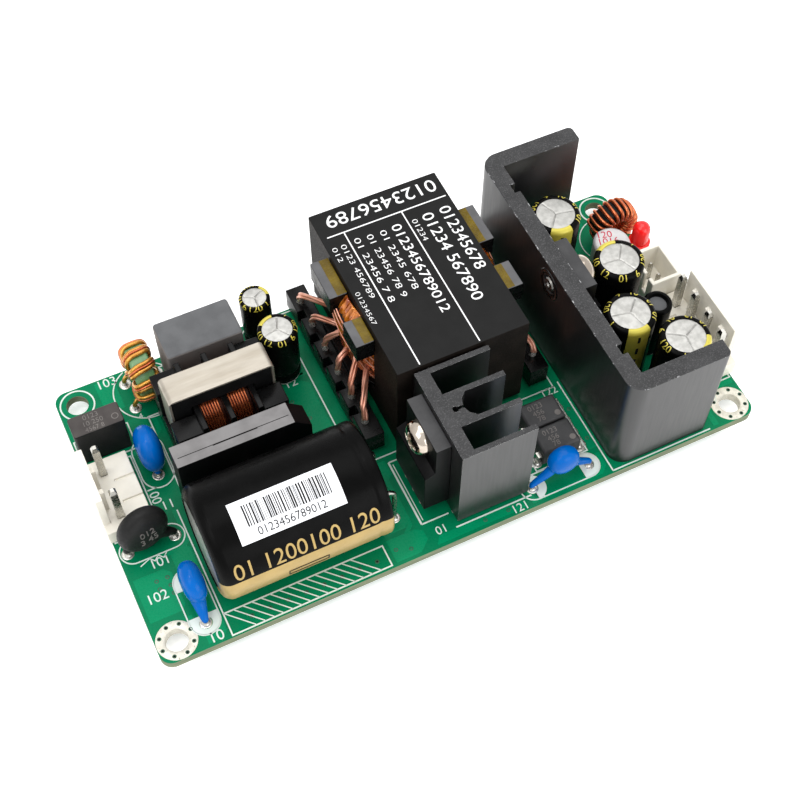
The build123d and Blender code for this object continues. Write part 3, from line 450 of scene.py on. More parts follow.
def tube(path, radius, reference, sides):
    """A circle carried along a path, square to it; the reference direction orients the rings."""
    path = np.asarray(path, float)
    tangent = np.gradient(path, axis=0)
    tangent /= np.linalg.norm(tangent, axis=1, keepdims=True)
    side = np.cross(tangent, reference)
    side /= np.linalg.norm(side, axis=1, keepdims=True)
    other = np.cross(side, tangent)
    angle = np.linspace(0, TAU, sides, endpoint=False)[:, None]
    radius = np.broadcast_to(radius, len(path))[:, None, None]
    return path[:, None] + radius * (np.cos(angle) * side[:, None] + np.sin(angle) * other[:, None])


def smooth_path(corners, steps=12):
    """Catmull-Rom curve through the corners, with steps points on each run."""
    p = np.asarray(corners, float)
    p = np.vstack([2 * p[0] - p[1], p, 2 * p[-1] - p[-2]])
    t = np.linspace(0, 1, steps, endpoint=False)[:, None, None]
    a, b, c, d = p[:-3], p[1:-2], p[2:-1], p[3:]
    runs = 0.5 * (2 * b + (c - a) * t + (2 * a - 5 * b + 4 * c - d) * t ** 2
                  + (3 * b - a - 3 * c + d) * t ** 3)
    return np.vstack([runs.transpose(1, 0, 2).reshape(-1, 3), p[-2]])


def rounded(corners, radius, steps=4):
    """A (radius, height) profile whose inner corners are quadratic curves of that reach."""
    corners = np.asarray(corners, float)
    rows = [corners[:1]]
    t = np.linspace(0, 1, steps + 1)[:, None]
    reach = np.broadcast_to(radius, len(corners))
    for before, corner, after, size in zip(corners[:-2], corners[1:-1], corners[2:], reach[1:-1]):
        start, end = before - corner, after - corner
        size = min(size, np.linalg.norm(start) * 0.5, np.linalg.norm(end) * 0.5)
        start = corner + start / np.linalg.norm(start) * size
        end = corner + end / np.linalg.norm(end) * size
        rows.append((1 - t) ** 2 * start + 2 * t * (1 - t) * corner + t ** 2 * end)
    return np.vstack(rows + [corners[-1:]])


def band(left, right, low, high):
    """Rectangular sections between two flat lines and two heights."""
    corners = ((left, low), (left, high), (right, high), (right, low))
    return np.stack([np.column_stack([line, np.full(len(line), height)])
                     for line, height in corners], 1)


def ribbon(line, width, low, high, closed=False):
    """A rectangular section carried along a flat line, with mitred corners."""
    line = np.asarray(line, float)
    step = np.roll(line, -1, 0) - line
    step /= np.maximum(np.linalg.norm(step, axis=1, keepdims=True), 1e-9)
    before = np.roll(step, 1, 0)
    if not closed:
        step[-1], before[0] = step[-2], step[0]
    normal = np.stack([-(step + before)[:, 1], (step + before)[:, 0]], 1)
    normal /= np.linalg.norm(normal, axis=1, keepdims=True)
    square = np.stack([-step[:, 1], step[:, 0]], 1)
    reach = width / 2 / np.maximum((normal * square).sum(1, keepdims=True), 0.3)
    return band(line + normal * reach, line - normal * reach, low, high)


def arc_points(centre, radius, angle):
    """Points at those angles of a flat circle, in radians."""
    return np.stack([centre[0] + radius * np.cos(angle), centre[1] + radius * np.sin(angle)], 1)


def arc(centre, radius, start, stop, steps):
    """Points of a flat arc, angles in degrees."""
    return arc_points(centre, radius, np.radians(np.linspace(start, stop, steps)))


def stadium(centre, length, width, is_upright):
    """Outline of a slot with round ends."""
    reach = (length - width) / 2
    ends = np.vstack([arc((side * reach, 0), width / 2, start, start + 180, 16)
                      for side, start in ((1, -90), (-1, 90))])
    return (ends[:, ::-1] if is_upright else ends) + np.asarray(centre)


def flat(origin, across, up):
    """Places (u, v, w) on a plane: across and up are its directions, w stands on it."""
    axes = np.array([across, up, np.cross(across, up)], float)
    return lambda u, v, w: np.stack([u, v, w], -1) @ axes + np.asarray(origin, float)


def level(x, y, z):
    """Places (u, v, w) on a level plane, u along X and v along Y."""
    return flat((x, y, z), (1, 0, 0), (0, 1, 0))


def barrel(centre, radius, axes, start=0.0):
    """Places (u, v, w) on a cylinder: v runs along the axis, u is arc length, w stands out."""
    def place(u, v, w):
        angle = math.radians(start) + u / radius
        return np.stack([(radius + w) * np.cos(angle), (radius + w) * np.sin(angle), v],
                        -1) @ axes + np.asarray(centre, float)
    return place


def patch(shape, place, u, v, w, number=0, steps=(1, 1)):
    """A closed thin shell over u and v ranges, between the two heights of w."""
    rows = np.linspace(*u, steps[0] + 1)
    columns = np.linspace(*v, steps[1] + 1)
    loop = np.concatenate([columns, columns[::-1]])
    height = np.repeat(w, len(columns))
    points = place(*np.broadcast_arrays(rows[:, None], loop[None, :], height[None, :]))
    shape.grid(points, number, ends=True)


def numerals(shape, text, place, size, lift, number=0, slices=0, weight=0.0, span=None,
             depth=SUNK):
    """Figures of that height placed on a surface, from depth under it to lift over it, centred,
    sliced across so that they bend, and stretched to the span when one is given."""
    curve = bpy.data.curves.new("figures", "FONT")
    curve.body, curve.size, curve.align_x, curve.align_y = text, size, "CENTER", "CENTER"
    curve.extrude, curve.resolution_u, curve.offset = 0.5, 4, weight
    holder = bpy.data.objects.new("figures", curve)
    mesh = bpy.data.meshes.new_from_object(holder)
    form = bmesh.new()
    form.from_mesh(mesh)
    bmesh.ops.remove_doubles(form, verts=form.verts, dist=1e-5)
    for cut in np.linspace(-size / 2, size / 2, slices + 2)[1:-1]:
        bmesh.ops.bisect_plane(form, geom=form.verts[:] + form.edges[:] + form.faces[:],
                               plane_co=(0, cut, 0), plane_no=(0, 1, 0))
    form.to_mesh(mesh)
    form.free()
    points = np.empty(len(mesh.vertices) * 3)
    mesh.vertices.foreach_get("co", points)
    x, y, z = points.reshape(-1, 3).T
    if span:
        x = (x - (x.min() + x.max()) / 2) * span / np.ptp(x)
    height = np.where(z > 0, lift, -depth)
    shape.polygons(place(x, y, height), [list(face.vertices) for face in mesh.polygons], number)
    bpy.data.objects.remove(holder)
    bpy.data.curves.remove(curve)
    bpy.data.meshes.remove(mesh)


def rows_of_figures(shape, rows, place, lift=PRINT, depth=SUNK):
    """Rows of figures on one surface, each with its text, its middle along v and its size."""
    for text, middle, size in rows:
        numerals(shape, text, lambda u, v, w: place(u, v + middle, w), size, lift, depth=depth)


def dress(node, finishes, edge=1.0, rules=(), edge_finish=None):
    """A merged copy of a CAD node with its edges rounded. Each rule is a finish number and a
    test on the arrays of face normals and of face centres in millimetres."""
    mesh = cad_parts[node].data.copy()
    form = bmesh.new()
    form.from_mesh(mesh)
    bmesh.ops.remove_doubles(form, verts=form.verts, dist=2e-6)
    bmesh.ops.dissolve_limit(form, angle_limit=math.radians(0.5), verts=form.verts,
                             edges=form.edges)
    form.to_mesh(mesh)
    form.free()
    mesh.materials.clear()
    for label in finishes:
        mesh.materials.append(finish(label))
    normals, centres = np.empty(len(mesh.polygons) * 3), np.empty(len(mesh.polygons) * 3)
    mesh.polygons.foreach_get("normal", normals)
    mesh.polygons.foreach_get("center", centres)
    normals, centres = normals.reshape(-1, 3), centres.reshape(-1, 3) / MM
    numbers = np.zeros(len(mesh.polygons), int)
    for number, test in rules:
        numbers[test(normals, centres)] = number
    mesh.polygons.foreach_set("material_index", numbers)
    piece = seat(node + "_form", mesh, (node,), EDGE_ANGLE)
    bevel = piece.modifiers.new("edges", "BEVEL")
    bevel.width = bpy.context.scene.board_sizes.edge * edge
    bevel.segments = 2
    bevel.limit_method = "ANGLE"
    bevel.angle_limit = math.radians(EDGE_ANGLE)
    bevel.harden_normals = True
    if edge_finish is not None:
        bevel.material = edge_finish


def dress_plain(*rows):
    """Dresses nodes that have one finish: node, finish, slot and edge rounding of each."""
    for node, label, slot, edge in rows:
        dress(node, (label,), edge)


def remesh(piece, voxel, rounds):
    """Joins a piece's overlapping forms into one skin and smooths it."""
    skin = piece.modifiers.new("skin", "REMESH")
    skin.mode, skin.voxel_size, skin.use_smooth_shade = "VOXEL", voxel * MM, True
    smooth = piece.modifiers.new("smooth", "SMOOTH")
    smooth.factor, smooth.iterations = 0.5, rounds
    graph = bpy.context.evaluated_depsgraph_get()
    mesh = bpy.data.meshes.new_from_object(piece.evaluated_get(graph))
    piece.modifiers.clear()
    piece.data = mesh
    mesh.shade_smooth()


def upward(normals, centres):
    """Faces that look up."""
    return normals[:, 2] > 0.9


# ---------------------------------------------------------------- board

PADS = np.array([
    (-49.3, -6.1), (-48.74, 13.3), (-48.1, -0.96), (-48.1, 6.96), (-43.66, 13.3), (-42.8, -21.5),
    (-42.8, -14.0), (-41.8, -6.1), (-40.4, 4.8), (-40.4, 9.8), (-39.4, 17.8), (-39.4, 22.8),
    (-35.62, -1.9), (-35.3, 4.1), (-35.3, 13.3), (-34.0, 17.8), (-34.0, 22.8), (-31.7, 19.6),
    (-30.54, -1.9), (-25.46, -1.9), (-21.7, 19.6), (-20.38, -1.9), (-19.9, 4.1), (-19.9, 13.3),
    (-17.2, 22.3), (-16.65, 14.8), (-15.2, 22.3), (-14.15, 14.8), (-10.5, -17.75), (-10.5, -10.25),
    (-8.15, -2.7), (-8.15, 2.38), (-8.15, 7.46), (-8.15, 12.54), (-8.15, 17.62), (-8.15, 22.7),
    (-4.85, -17.04), (-4.85, -14.5), (-4.85, -11.96), (-1.05, -20.56), (-1.05, -9.04),
    (11.1, -22.3), (13.89, -18.57), (13.89, -16.03), (13.89, -13.67), (13.89, -11.13),
    (20.95, -2.7), (20.95, 2.38), (20.95, 7.46), (20.95, 12.54), (20.95, 17.62), (20.95, 22.7),
    (21.1, -22.3), (21.51, -18.57), (21.51, -16.03), (21.51, -13.67), (21.51, -11.13),
    (26.15, -19.64), (26.15, 20.04), (30.35, -1.94), (30.35, 0.6), (30.35, 3.14), (31.45, 13.6),
    (32.55, -8.6), (34.95, 13.6), (36.05, -8.6), (36.25, 1.2), (38.1, -16.0), (39.75, 1.2),
    (41.3, -7.65), (41.3, -5.15), (41.55, 9.8), (41.6, -16.0), (44.05, 9.8), (48.1, 18.2),
    (47.7, 2.05), (47.7, 4.55), (48.45, -14.94), (48.45, -10.98), (48.45, -7.02), (48.45, -3.06),
    (44.9, 12.8), (49.2, 9.33), (49.2, 11.87)])
MOUNTS = [(-47.625, -22.225), (47.625, -22.225)]
BARE_MOUNTS = [(x, -y) for x, y in MOUNTS]
# Radii of the mounts' rings, of the lead holes, of a pad and of the optocouplers' right pads
MOUNT_RING = (1.75, 3.12)
HOLE, PAD, WIDE_PAD = 0.3, 0.98, 1.25
WIDE_PAD_X = 21.51
TRACK_WIDTH, LINE_WIDTH = 0.7, 0.22

# Outlines of the copper areas that show through the mask
POURS = [
    [(-50.2, -18.2), (-45.0, -18.2), (-44.4, -17.4), (-44.4, -11.6), (-45.4, -10.6),
     (-50.2, -10.6)],
    [(-43.6, -24.8), (-41.2, -24.8), (-40.4, -23.8), (-40.4, -9.0), (-41.4, -8.0), (-43.0, -8.0),
     (-43.6, -8.8), (-43.6, -12.0), (-41.6, -14.0), (-43.6, -16.0)],
    [(-50.2, 10.4), (-44.0, 10.4), (-42.0, 11.8), (-40.2, 11.8), (-38.6, 13.4), (-38.6, 16.2),
     (-42.0, 16.2), (-43.4, 17.8), (-50.2, 17.8)],
    [(-43.0, 18.6), (-40.8, 18.6), (-40.8, 24.8), (-44.0, 24.8), (-44.0, 20.6)],
    [(-18.6, -1.4), (-13.2, -1.4), (-12.4, -0.6), (-12.4, 10.6), (-13.4, 11.4), (-17.6, 11.4),
     (-18.4, 10.6), (-18.4, 0.0)],
    [(-11.8, -7.9), (-7.6, -7.9), (-7.6, -10.6), (-8.6, -11.6), (-11.8, -11.6)],
    [(-12.2, -12.6), (-9.4, -12.6), (-8.4, -13.6), (-8.4, -18.8), (-9.6, -20.0), (-12.2, -20.0)],
    [(-13.4, -24.8), (-9.2, -24.8), (-7.4, -23.2), (-7.4, -21.6), (-8.6, -20.8), (-13.4, -20.8)],
    [(-6.6, -24.8), (9.2, -24.8), (9.2, -23.4), (-5.6, -23.4)],
    [(11.2, -20.2), (12.6, -20.2), (12.6, -8.0), (10.6, -8.0), (10.6, -18.0)],
    [(22.6, -20.0), (24.0, -20.0), (24.0, -8.0), (22.6, -8.0)],
    [(15.4, -9.6), (20.2, -9.6), (21.0, -8.8), (21.0, -7.8), (14.6, -7.8), (14.6, -8.8)],
    [(43.0, -24.8), (44.0, -24.8), (44.0, -21.4), (45.6, -19.0), (50.3, -19.0), (50.3, -17.9),
     (44.6, -17.9), (43.0, -20.0)],
    [(42.8, 19.6), (44.0, 19.6), (44.0, 24.8), (36.0, 24.8), (36.0, 20.6), (42.0, 20.6)],
    [(45.0, 19.2), (50.3, 19.2), (50.3, 13.2), (48.0, 13.2), (46.6, 15.0)],
]
# Narrow tracks beside them
TRACKS = [
    [(-12.0, -8.6), (-9.4, -8.6), (-8.8, -9.4), (-8.8, -19.8), (-10.0, -21.0)],
    [(-45.6, -8.6), (-41.4, -8.6), (-40.4, -7.6), (-40.4, -2.0)],
    [(-44.4, 9.9), (-42.0, 9.9), (-41.2, 10.6), (-39.4, 10.6), (-37.4, 12.6), (-37.4, 15.0)],
    [(-12.0, 12.4), (-13.6, 12.4), (-14.2, 13.0)],
    [(10.4, -20.6), (10.4, -24.4), (22.4, -24.4), (23.4, -23.4), (23.4, -21.0)],
    [(-17.4, 24.0), (-15.2, 24.0), (-13.0, 21.8), (-13.0, 12.4)],
    [(44.6, 24.4), (40.8, 24.4), (39.4, 23.0), (39.4, 21.2)],
    [(-46.2, -24.2), (-44.6, -22.4), (-44.6, -19.4)],
]

# The print: boxes by two opposite corners
BOXES = [(-11.9, -7.2, 23.1, 24.9), (-50.4, -3.6, -43.2, 9.8), (-50.4, 10.8, -41.6, 15.8),
         (-38.2, 1.2, -17.6, 15.4), (-33.4, 15.8, -20.0, 23.6), (13.2, -20.0, 22.3, -9.6),
         (43.9, -17.9, 50.4, 0.2), (44.3, -0.8, 50.5, 7.4)]
# slots by centre, length, width and whether they run along Y
SLOTS = [((-42.8, -17.75), 11.4, 4.6, True), ((-45.4, -6.0), 10.2, 4.2, False),
         ((16.1, -22.3), 13.8, 4.3, False), ((-40.4, 7.3), 9.6, 5.0, True)]
# arcs by centre, radius, angles, number of points and line width; those of 351 degrees close
# to a circle
CIRCLE = (0, 351)
ARCS = [*[(centre, 2.7, *CIRCLE, 40, 0.25) for centre in BARE_MOUNTS],
        ((-36.7, 20.3), 5.3, 116, 424, 40, 0.2), ((-16.2, 22.3), 2.9, *CIRCLE, 40, 0.18),
        ((-15.4, 14.8), 2.95, *CIRCLE, 40, 0.18), ((49.2, 10.6), 2.0, 45, 315, 30, 0.18),
        ((46.5, 15.5), 5.0, 38, 322, 40, 0.18)]
# open lines and their widths, with the hatching as the last
LINES = [([(24.2, -25.0), (24.2, -6.6)], LINE_WIDTH),
         ([(24.2, -25.0), (42.2, -25.0)], LINE_WIDTH),
         ([(24.2, -3.0), (24.2, 25.0), (42.2, 25.0)], LINE_WIDTH),
         ([(-40.0, -2.2), (-40.0, -25.05), (-14.2, -24.9), (-14.2, -21.3), (-40.0, -21.3)],
          LINE_WIDTH),
         ([(-7.2, -20.6), (-7.2, -8.6)], 0.3),
         ([(-6.7, -20.0), (-6.7, -9.2)], 0.14),
         ([(-7.2, -20.6), (-2.6, -20.6)], LINE_WIDTH),
         ([(-7.2, -8.6), (-2.6, -8.6)], LINE_WIDTH),
         ([(-2.6, -23.3), (10.5, -23.3)], 0.24),
         ([(-48.3, -8.9), (-46.6, -8.2), (-46.0, -8.9), (-45.3, -8.2), (-44.6, -8.9),
           (-43.9, -8.2)], 0.16),
         *[([(x, -21.4), (x + 3.5, -24.9)], 0.17) for x in -39.8 + 1.45 * np.arange(15)]]
# inked ends round the pads of two discs: pad, middle of the round end, its radius and angles
INKED_ENDS = [((21.1, -22.3), (20.85, -22.3), 2.1, -90, 90),
              ((11.1, -22.3), (11.35, -22.3), 2.1, 90, -90),
              ((-42.8, -21.5), (-42.8, -21.15), 2.25, 0, -180),
              ((-42.8, -14.0), (-42.8, -14.35), 2.25, 0, 180)]
# figures by text, place and size
BOARD_FIGURES = [
    ("103", -42.1, 24.2, 2.3), ("101", -45.4, -9.4, 2.2), ("102", -47.8, -14.7, 2.3),
    ("10", -42.2, -24.2, 2.4), ("11", -40.9, -0.8, 2.2), ("1", -38.5, 12.6, 2.2),
    ("112", -15.8, 11.6, 2.3), ("122", 22.0, -7.8, 2.0), ("01", -4.8, -22.7, 2.0),
    ("121", 7.9, -24.5, 2.0), ("4", -39.2, 16.0, 1.4), ("5", 47.6, 8.4, 1.4),
    ("7", 46.0, -20.6, 1.7)]


def plated_ring(shape, centre, inner, outer, low, high, columns, number=0):
    """A flat ring with rounded rims, turned about the hole it goes round."""
    rim = min(0.04, (high - low) / 2)
    profile = [(inner, low), (inner, high - rim), (inner + rim, high), (outer - 2 * rim, high),
               (outer, high - rim), (outer, low), (inner, low)]
    shape.lathe(profile, (*centre, 0), columns=columns, number=number)


def make_board():
    """Board, solder, pads, copper areas, vias and ink."""
    def cut_edge(normals, centres):
        return abs(normals[:, 2]) < 0.5

    def plated(normals, centres):
        near = [np.hypot(centres[:, 0] - x, centres[:, 1] - y) < 2.2 for x, y in MOUNTS]
        return cut_edge(normals, centres) & np.any(near, axis=0)

    dress("circuit_board", ("solder mask", "board edge", "plated ring"), 0.4,
          ((1, cut_edge), (2, plated)))
    make_pads()
    make_copper()
    make_vias()
    make_board_ink()


def make_pads():
    """Solder cones under the board, tinned pads with fillets on it, and the mounts' rings."""
    joints, pads = Shape("solder"), Shape("solder", "plated ring")
    cone = [(0, 0), (1.0, 0), (0.98, -0.1), (0.72, -0.42), (0.48, -0.85), (0.4, -1.2),
            (0.39, -1.7), (0.3, -1.8), (0, -1.8)]
    fillet = [(HOLE, 0), (0.72, 0), (0.5, 0.1), (0.38, 0.3), (HOLE, 0.3), (HOLE, 0)]
    for x, y in PADS:
        joints.lathe(cone, (x, y, 0), columns=14)
        outer = WIDE_PAD if abs(x - WIDE_PAD_X) < 0.01 else PAD
        plated_ring(pads, (x, y), HOLE, outer, BOARD_TOP - SUNK, BOARD_TOP + 0.05, 20)
        pads.lathe(fillet, (x, y, BOARD_TOP), columns=20)
    for centre in MOUNTS:
        for low, high in ((BOARD_TOP - SUNK, BOARD_TOP + 0.06), (-0.06, SUNK)):
            plated_ring(pads, centre, *MOUNT_RING, low, high, 72, 1)
    joints.piece("solder_cones", "solder", ("solder_joints",), 50)
    pads.piece("solder_pads", "tinned", sharp=50)


def make_copper():
    """Copper areas, each a shallow frustum, and tracks that show through the mask."""
    copper = Shape("mask on copper")
    for outline in POURS:
        rim = np.array(outline)
        spokes = rim - rim.mean(0)
        inner = rim - 0.06 * spokes / np.linalg.norm(spokes, axis=1, keepdims=True)
        sides = ((rim, BOARD_TOP - 0.01), (inner, BOARD_TOP + 0.035))
        copper.grid(np.stack([np.column_stack([line, np.full(len(line), height)])
                              for line, height in sides]), ends=True)
    for track in TRACKS:
        copper.grid(ribbon(track, TRACK_WIDTH, BOARD_TOP - 0.01, BOARD_TOP + 0.03), ends=True)
    copper.piece("copper_areas", "solder_mask", sharp=20)


def make_vias():
    """Small rings with dark middles, eight of them on each plated mount."""
    vias = Shape("via", "rubber")
    spots = [(-36.3 + 2.9 * i, -23.35) for i in range(8)]
    spots += [(x + 2.55 * math.cos(a), y + 2.55 * math.sin(a)) for x, y in MOUNTS
              for a in np.linspace(0, TAU, 8, endpoint=False) + 0.3]
    spots += [(-47.0 + 1.7 * i, -12.2 - 1.4 * j) for i in range(2) for j in range(3)]
    spots += [(-16.6, 1.0), (-15.0, 4.2), (-16.4, 8.2), (23.4, -18.0), (23.4, -12.0),
              (11.6, -10.4), (11.6, -13.2), (-12.6, -22.8), (-10.4, -23.6), (2.0, -24.1),
              (6.0, -24.1)]
    for spot in spots:
        rise = 0.085 if min(math.dist(spot, mount) for mount in MOUNTS) < 3 else 0.05
        plated_ring(vias, spot, 0.16, 0.36, BOARD_TOP, BOARD_TOP + rise, 14)
        # the dark middle stands for the hole: painted shade
        vias.lathe([(0, 0), (0.18, 0), (0.18, rise - 0.02), (0, rise - 0.02)],
                   (*spot, BOARD_TOP), columns=10, number=1)
    vias.piece("board_vias", "solder_mask")


def make_board_ink():
    """Printed boxes, slots, arcs, lines, inked ends and figures."""
    ink = Shape("white ink")
    thickness = 0.07
    low, high = BOARD_TOP - 0.01, BOARD_TOP + thickness

    def line(points, width, closed=False):
        ink.grid(ribbon(points, width, low, high, closed), wrap=(closed, True), ends=not closed)

    for x, y, far_x, far_y in BOXES:
        line([(x, y), (far_x, y), (far_x, far_y), (x, far_y)], LINE_WIDTH, True)
    for row in SLOTS:
        line(stadium(*row), 0.2, True)
    for centre, radius, start, stop, steps, width in ARCS:
        line(arc(centre, radius, start, stop, steps), width, (start, stop) == CIRCLE)
    for points, width in LINES:
        line(points, width)
    for pad, middle, radius, start, stop in INKED_ENDS:
        inward = np.sign(np.subtract(middle, pad))
        side, across = pad + 1.35 * inward, radius * inward[::-1]
        rim = np.vstack([arc(middle, radius, start, stop, 20), side - across, side + across])
        angle = np.arctan2(rim[:, 1] - pad[1], rim[:, 0] - pad[0])
        order = np.argsort(angle)
        ink.grid(band(arc_points(pad, 1.02, angle[order]), rim[order], low, high),
                 wrap=(True, True))
    for text, x, y, size in BOARD_FIGURES:
        numerals(ink, text, level(x, y, BOARD_TOP), size, thickness)
    sideways = flat((-42.3, 1.7, BOARD_TOP), (0, -1, 0), (1, 0, 0))
    numerals(ink, "100", sideways, 2.2, thickness)
    ink.piece("board_ink", "white_paper", sharp=50)


# ---------------------------------------------------------------- mains side

def make_fuse():
    """Fuse box with a faint printed top."""
    low, high = box_mm("fuse")
    x, y = (low + high)[:2] / 2
    dress("fuse", ("dark case", "printed case"), 1.6, ((1, upward),))
    ink = Shape("faint ink")
    rows_of_figures(ink, (("0123", 0.95, 1.25), ("10 250", -0.2, 1.2), ("4567 8", -1.3, 1.1)),
                    level(x - 0.5, y, high[2]))
    ink.lathe([(0.42, -SUNK), (0.42, 0.03), (0.56, 0.03), (0.56, -SUNK), (0.42, -SUNK)],
              (x + 2.9, y - 0.6, high[2]), columns=28)
    ink.piece("fuse_ink", "dark_case")


def make_headers():
    """Nylon headers and their square tinned pins."""
    sides = ("inlet", "outlet", "auxiliary")
    dress_plain(*[(side + "_header", "nylon", "nylon", 1.4) for side in sides],
                *[(side + "_pins", "tinned metal", "tinned", 0.5) for side in sides])


THERMISTOR_CENTRE = (-46.05, -5.5, 6.3)
THERMISTOR_FACE = (0.2, -0.97, 0.12)
# Dipped parts: node, centre, normal, diameter, thickness, feet, finish, slot, height of the
# feet's tops, and how much a leg's radius grows towards the disc
DISCS = (
    ("varistor", (-40.4, 7.3, 5.9), (1, 0, 0), 7.6, 3.9, ((-40.4, 4.8), (-40.4, 9.8)),
     "blue dip", "blue_coat", 2.5, 1.05),
    ("inlet_y_capacitor", (-42.5, -16.55, 5.9), (1, 0, 0), 6.6, 3.5,
     ((-42.8, -21.5), (-42.8, -14.0)), "blue dip", "blue_coat", 2.6, 1.05),
    ("bridging_y_capacitor", (16.1, -22.3, 6.9), (0, -1, 0), 5.2, 3.5,
     ((11.1, -22.3), (21.1, -22.3)), "blue dip", "blue_coat", 2.5, 0.55),
    ("thermistor", THERMISTOR_CENTRE, THERMISTOR_FACE, 8.2, 3.8,
     ((-49.3, -6.1), (-41.8, -6.1)), "thermistor coat", "black_coat", 2.6, 1.05),
)


def dipped(node, centre, normal, diameter, thickness, feet, coat, slot, foot_top, growth):
    """A lens turned about its normal, its half thickness following a root of the distance from
    the rim, joined by tapering legs to its feet and skinned over."""
    radius = diameter / 2
    angle = np.linspace(0, math.pi, 25)
    half = thickness / 2 * np.sign(np.cos(angle)) * abs(np.cos(angle)) ** 0.9
    profile = np.column_stack([radius * np.sin(angle) ** 0.72, -half])
    profile[[0, -1], 0] = 0
    form = Shape(coat)
    centre = np.array(centre)
    form.lathe(profile, centre, facing(normal, (0.3, 0.2, 1)))
    for x, y in feet:
        foot = np.array([x, y, foot_top])
        inward = centre - foot
        inward /= np.linalg.norm(inward)
        hip = centre - inward * radius * 0.45
        path = smooth_path([foot - (0, 0, 0.25), foot + (0, 0, 0.35), foot * 0.55 + hip * 0.45,
                            hip], 6)
        share = np.linspace(0, 1, len(path))
        form.wire(path, 0.42 + growth * share ** 1.7, np.array(normal, float) + 0.01, 16)
    remesh(form.piece(node + "_form", slot, (node,)), 0.13, 7)


def straight_lead(shape, x, y, radius, length, columns):
    """A round lead that stands on the board."""
    shape.lathe([(0, 0), (radius, 0), (radius, length), (0, length)], (x, y, BOARD_TOP - SUNK),
                columns=columns)


def make_discs():
    """Dipped disc capacitors, varistor and thermistor, with their leads and faint marks."""
    wires = Shape("tinned metal")
    for row in DISCS:
        dipped(*row)
        for x, y in row[5]:
            straight_lead(wires, x, y, 0.32, 0.95, 16)
    wires.piece("disc_lead_wires", "tinned", ("disc_leads",))
    marks = Shape("faint ink")
    across, up, out = facing(THERMISTOR_FACE)
    rows_of_figures(marks, (("012", 0.85, 1.7), ("3 45", -0.7, 1.7)),
                    flat(THERMISTOR_CENTRE + out * 1.76, across, up), 0.2, 0.12)
    marks.piece("thermistor_ink", "black_coat")


def wound(centre, axes, inner, outer, width, wire, first, last, turns, phase):
    """Wire round a ring: the ring angle grows steadily while the wire goes round a section that
    is a rounded rectangle. Returns the path and the ring's own direction at each point."""
    t = np.linspace(0, 1, 240 * turns)
    around = np.radians(first + (last - first) * t)
    section = TAU * turns * t + phase
    power = 0.62
    radial, axial = (np.sign(side) * abs(side) ** power
                     for side in (np.cos(section), np.sin(section)))
    distance = (inner + outer) / 2 + ((outer - inner) / 2 + wire) * radial
    local = np.stack([distance * np.cos(around), distance * np.sin(around),
                      (width / 2 + wire) * axial], -1)
    along = np.stack([-np.sin(around), np.cos(around), np.zeros_like(around)], -1)
    length = np.concatenate([[0], np.cumsum(np.linalg.norm(np.diff(local, axis=0), axis=1))])
    even = np.linspace(0, length[-1], 36 * turns)
    local, along = (np.stack([np.interp(even, length, table[:, k]) for k in range(3)], -1)
                    for table in (local, along))
    return local @ axes + np.asarray(centre), along @ axes


def ring_core(name, node, centre, axes, inner, outer, width, label, slot):
    """A ring turned from a rectangle with rounded corners."""
    corners = [(inner, 0), (inner, -width / 2), (outer, -width / 2), (outer, width / 2),
               (inner, width / 2), (inner, 0)]
    core = Shape(label)
    core.lathe(rounded(corners, 0.45), centre, axes, 80)
    core.piece(name, slot, (node,), 60)


def make_line_choke():
    """Green ring with pairs of gold and copper turns and four leads."""
    centre = np.array((-36.7, 20.3, 7.2))
    x = centre[0]
    # inner and outer radius and width of the core
    section = (2.2, 4.3, 3.2)
    ring_core("line_choke_ring", "line_choke_core", centre, AXES["X"], *section,
              "green ferrite", "green_ferrite")
    wires = Shape("gold enamel", "copper enamel", "solder")
    # the thin copper wire in the groove of each gold pair is painted shade between the two gold
    # wires
    # finish, radius, distance from the core and shift round the ring, in degrees
    for number, radius, wire, shift in ((0, 0.36, 0.34, -6.0), (0, 0.36, 0.34, 6.0),
                                        (1, 0.18, 0.6, 0.0)):
        path, along = wound(centre, AXES["X"], *section, wire, 262 + shift, -62 + shift, 9, 0.2)
        wires.wire(path, radius, along, 12, number)
    for pad_x in (-39.4, -34.0):
        for y in (17.8, 22.8):
            path = smooth_path([(pad_x * 0.45 + x * 0.55, y, 4.6), (pad_x * 0.8 + x * 0.2, y, 3.6),
                                (pad_x, y, 2.6), (pad_x, y, 1.62)], 8)
            wires.wire(path, 0.38, (0, 1, 0.01), 12, np.where(path[:-1, 2] < 2.5, 2, 0))
    wires.piece("line_choke_turns", "gold_wire", ("line_choke_winding",), 50)


def make_x_capacitor():
    """Box capacitor with softly rounded edges and a filled top."""
    dress("x_capacitor", ("grey case", "grey fill"), 2.4, ((1, upward),))


def make_common_mode_choke():
    """Frame core under a steel strap, its bobbin, pins and two copper coils."""
    dress_plain(("common_mode_core", "black ferrite", "ferrite", 1.5),
                ("common_mode_strap", "steel strap", "strap_steel", 0.6),
                ("common_mode_bobbin", "black plastic", "bobbin", 1.2),
                ("common_mode_pins", "tinned metal", "tinned", 0.4))
    low, high = box_mm("common_mode_winding")
    _, y, z = (low + high) / 2
    length = (high[0] - low[0] - 1.0) / 2
    inner, outer, turns = 4.05, 4.8, 8
    wire = length / turns / 2
    coils = Shape("copper enamel", "copper in painted shade")
    for start in (low[0], high[0] - length):
        t = np.linspace(0, 1, 48 * (turns - 1) + 1)
        angle = TAU * (turns - 1) * t
        path = np.stack([start + wire + (length - 2 * wire) * t,
                         y + (outer - wire) * np.cos(angle),
                         z + (outer - wire) * np.sin(angle)], -1)
        coils.wire(path, wire * 0.86, (1, 0, 0), 10)
        # dark layer behind the turns, for the lower turns; its darkness is painted shade between
        # the outer turns
        coils.lathe([(inner, 0), (outer - wire, 0), (outer - wire, length), (inner, length),
                     (inner, 0)], (start, y, z), AXES["X"], number=1)
    coils.piece("common_mode_coils", "copper_wire", ("common_mode_winding",), 50)


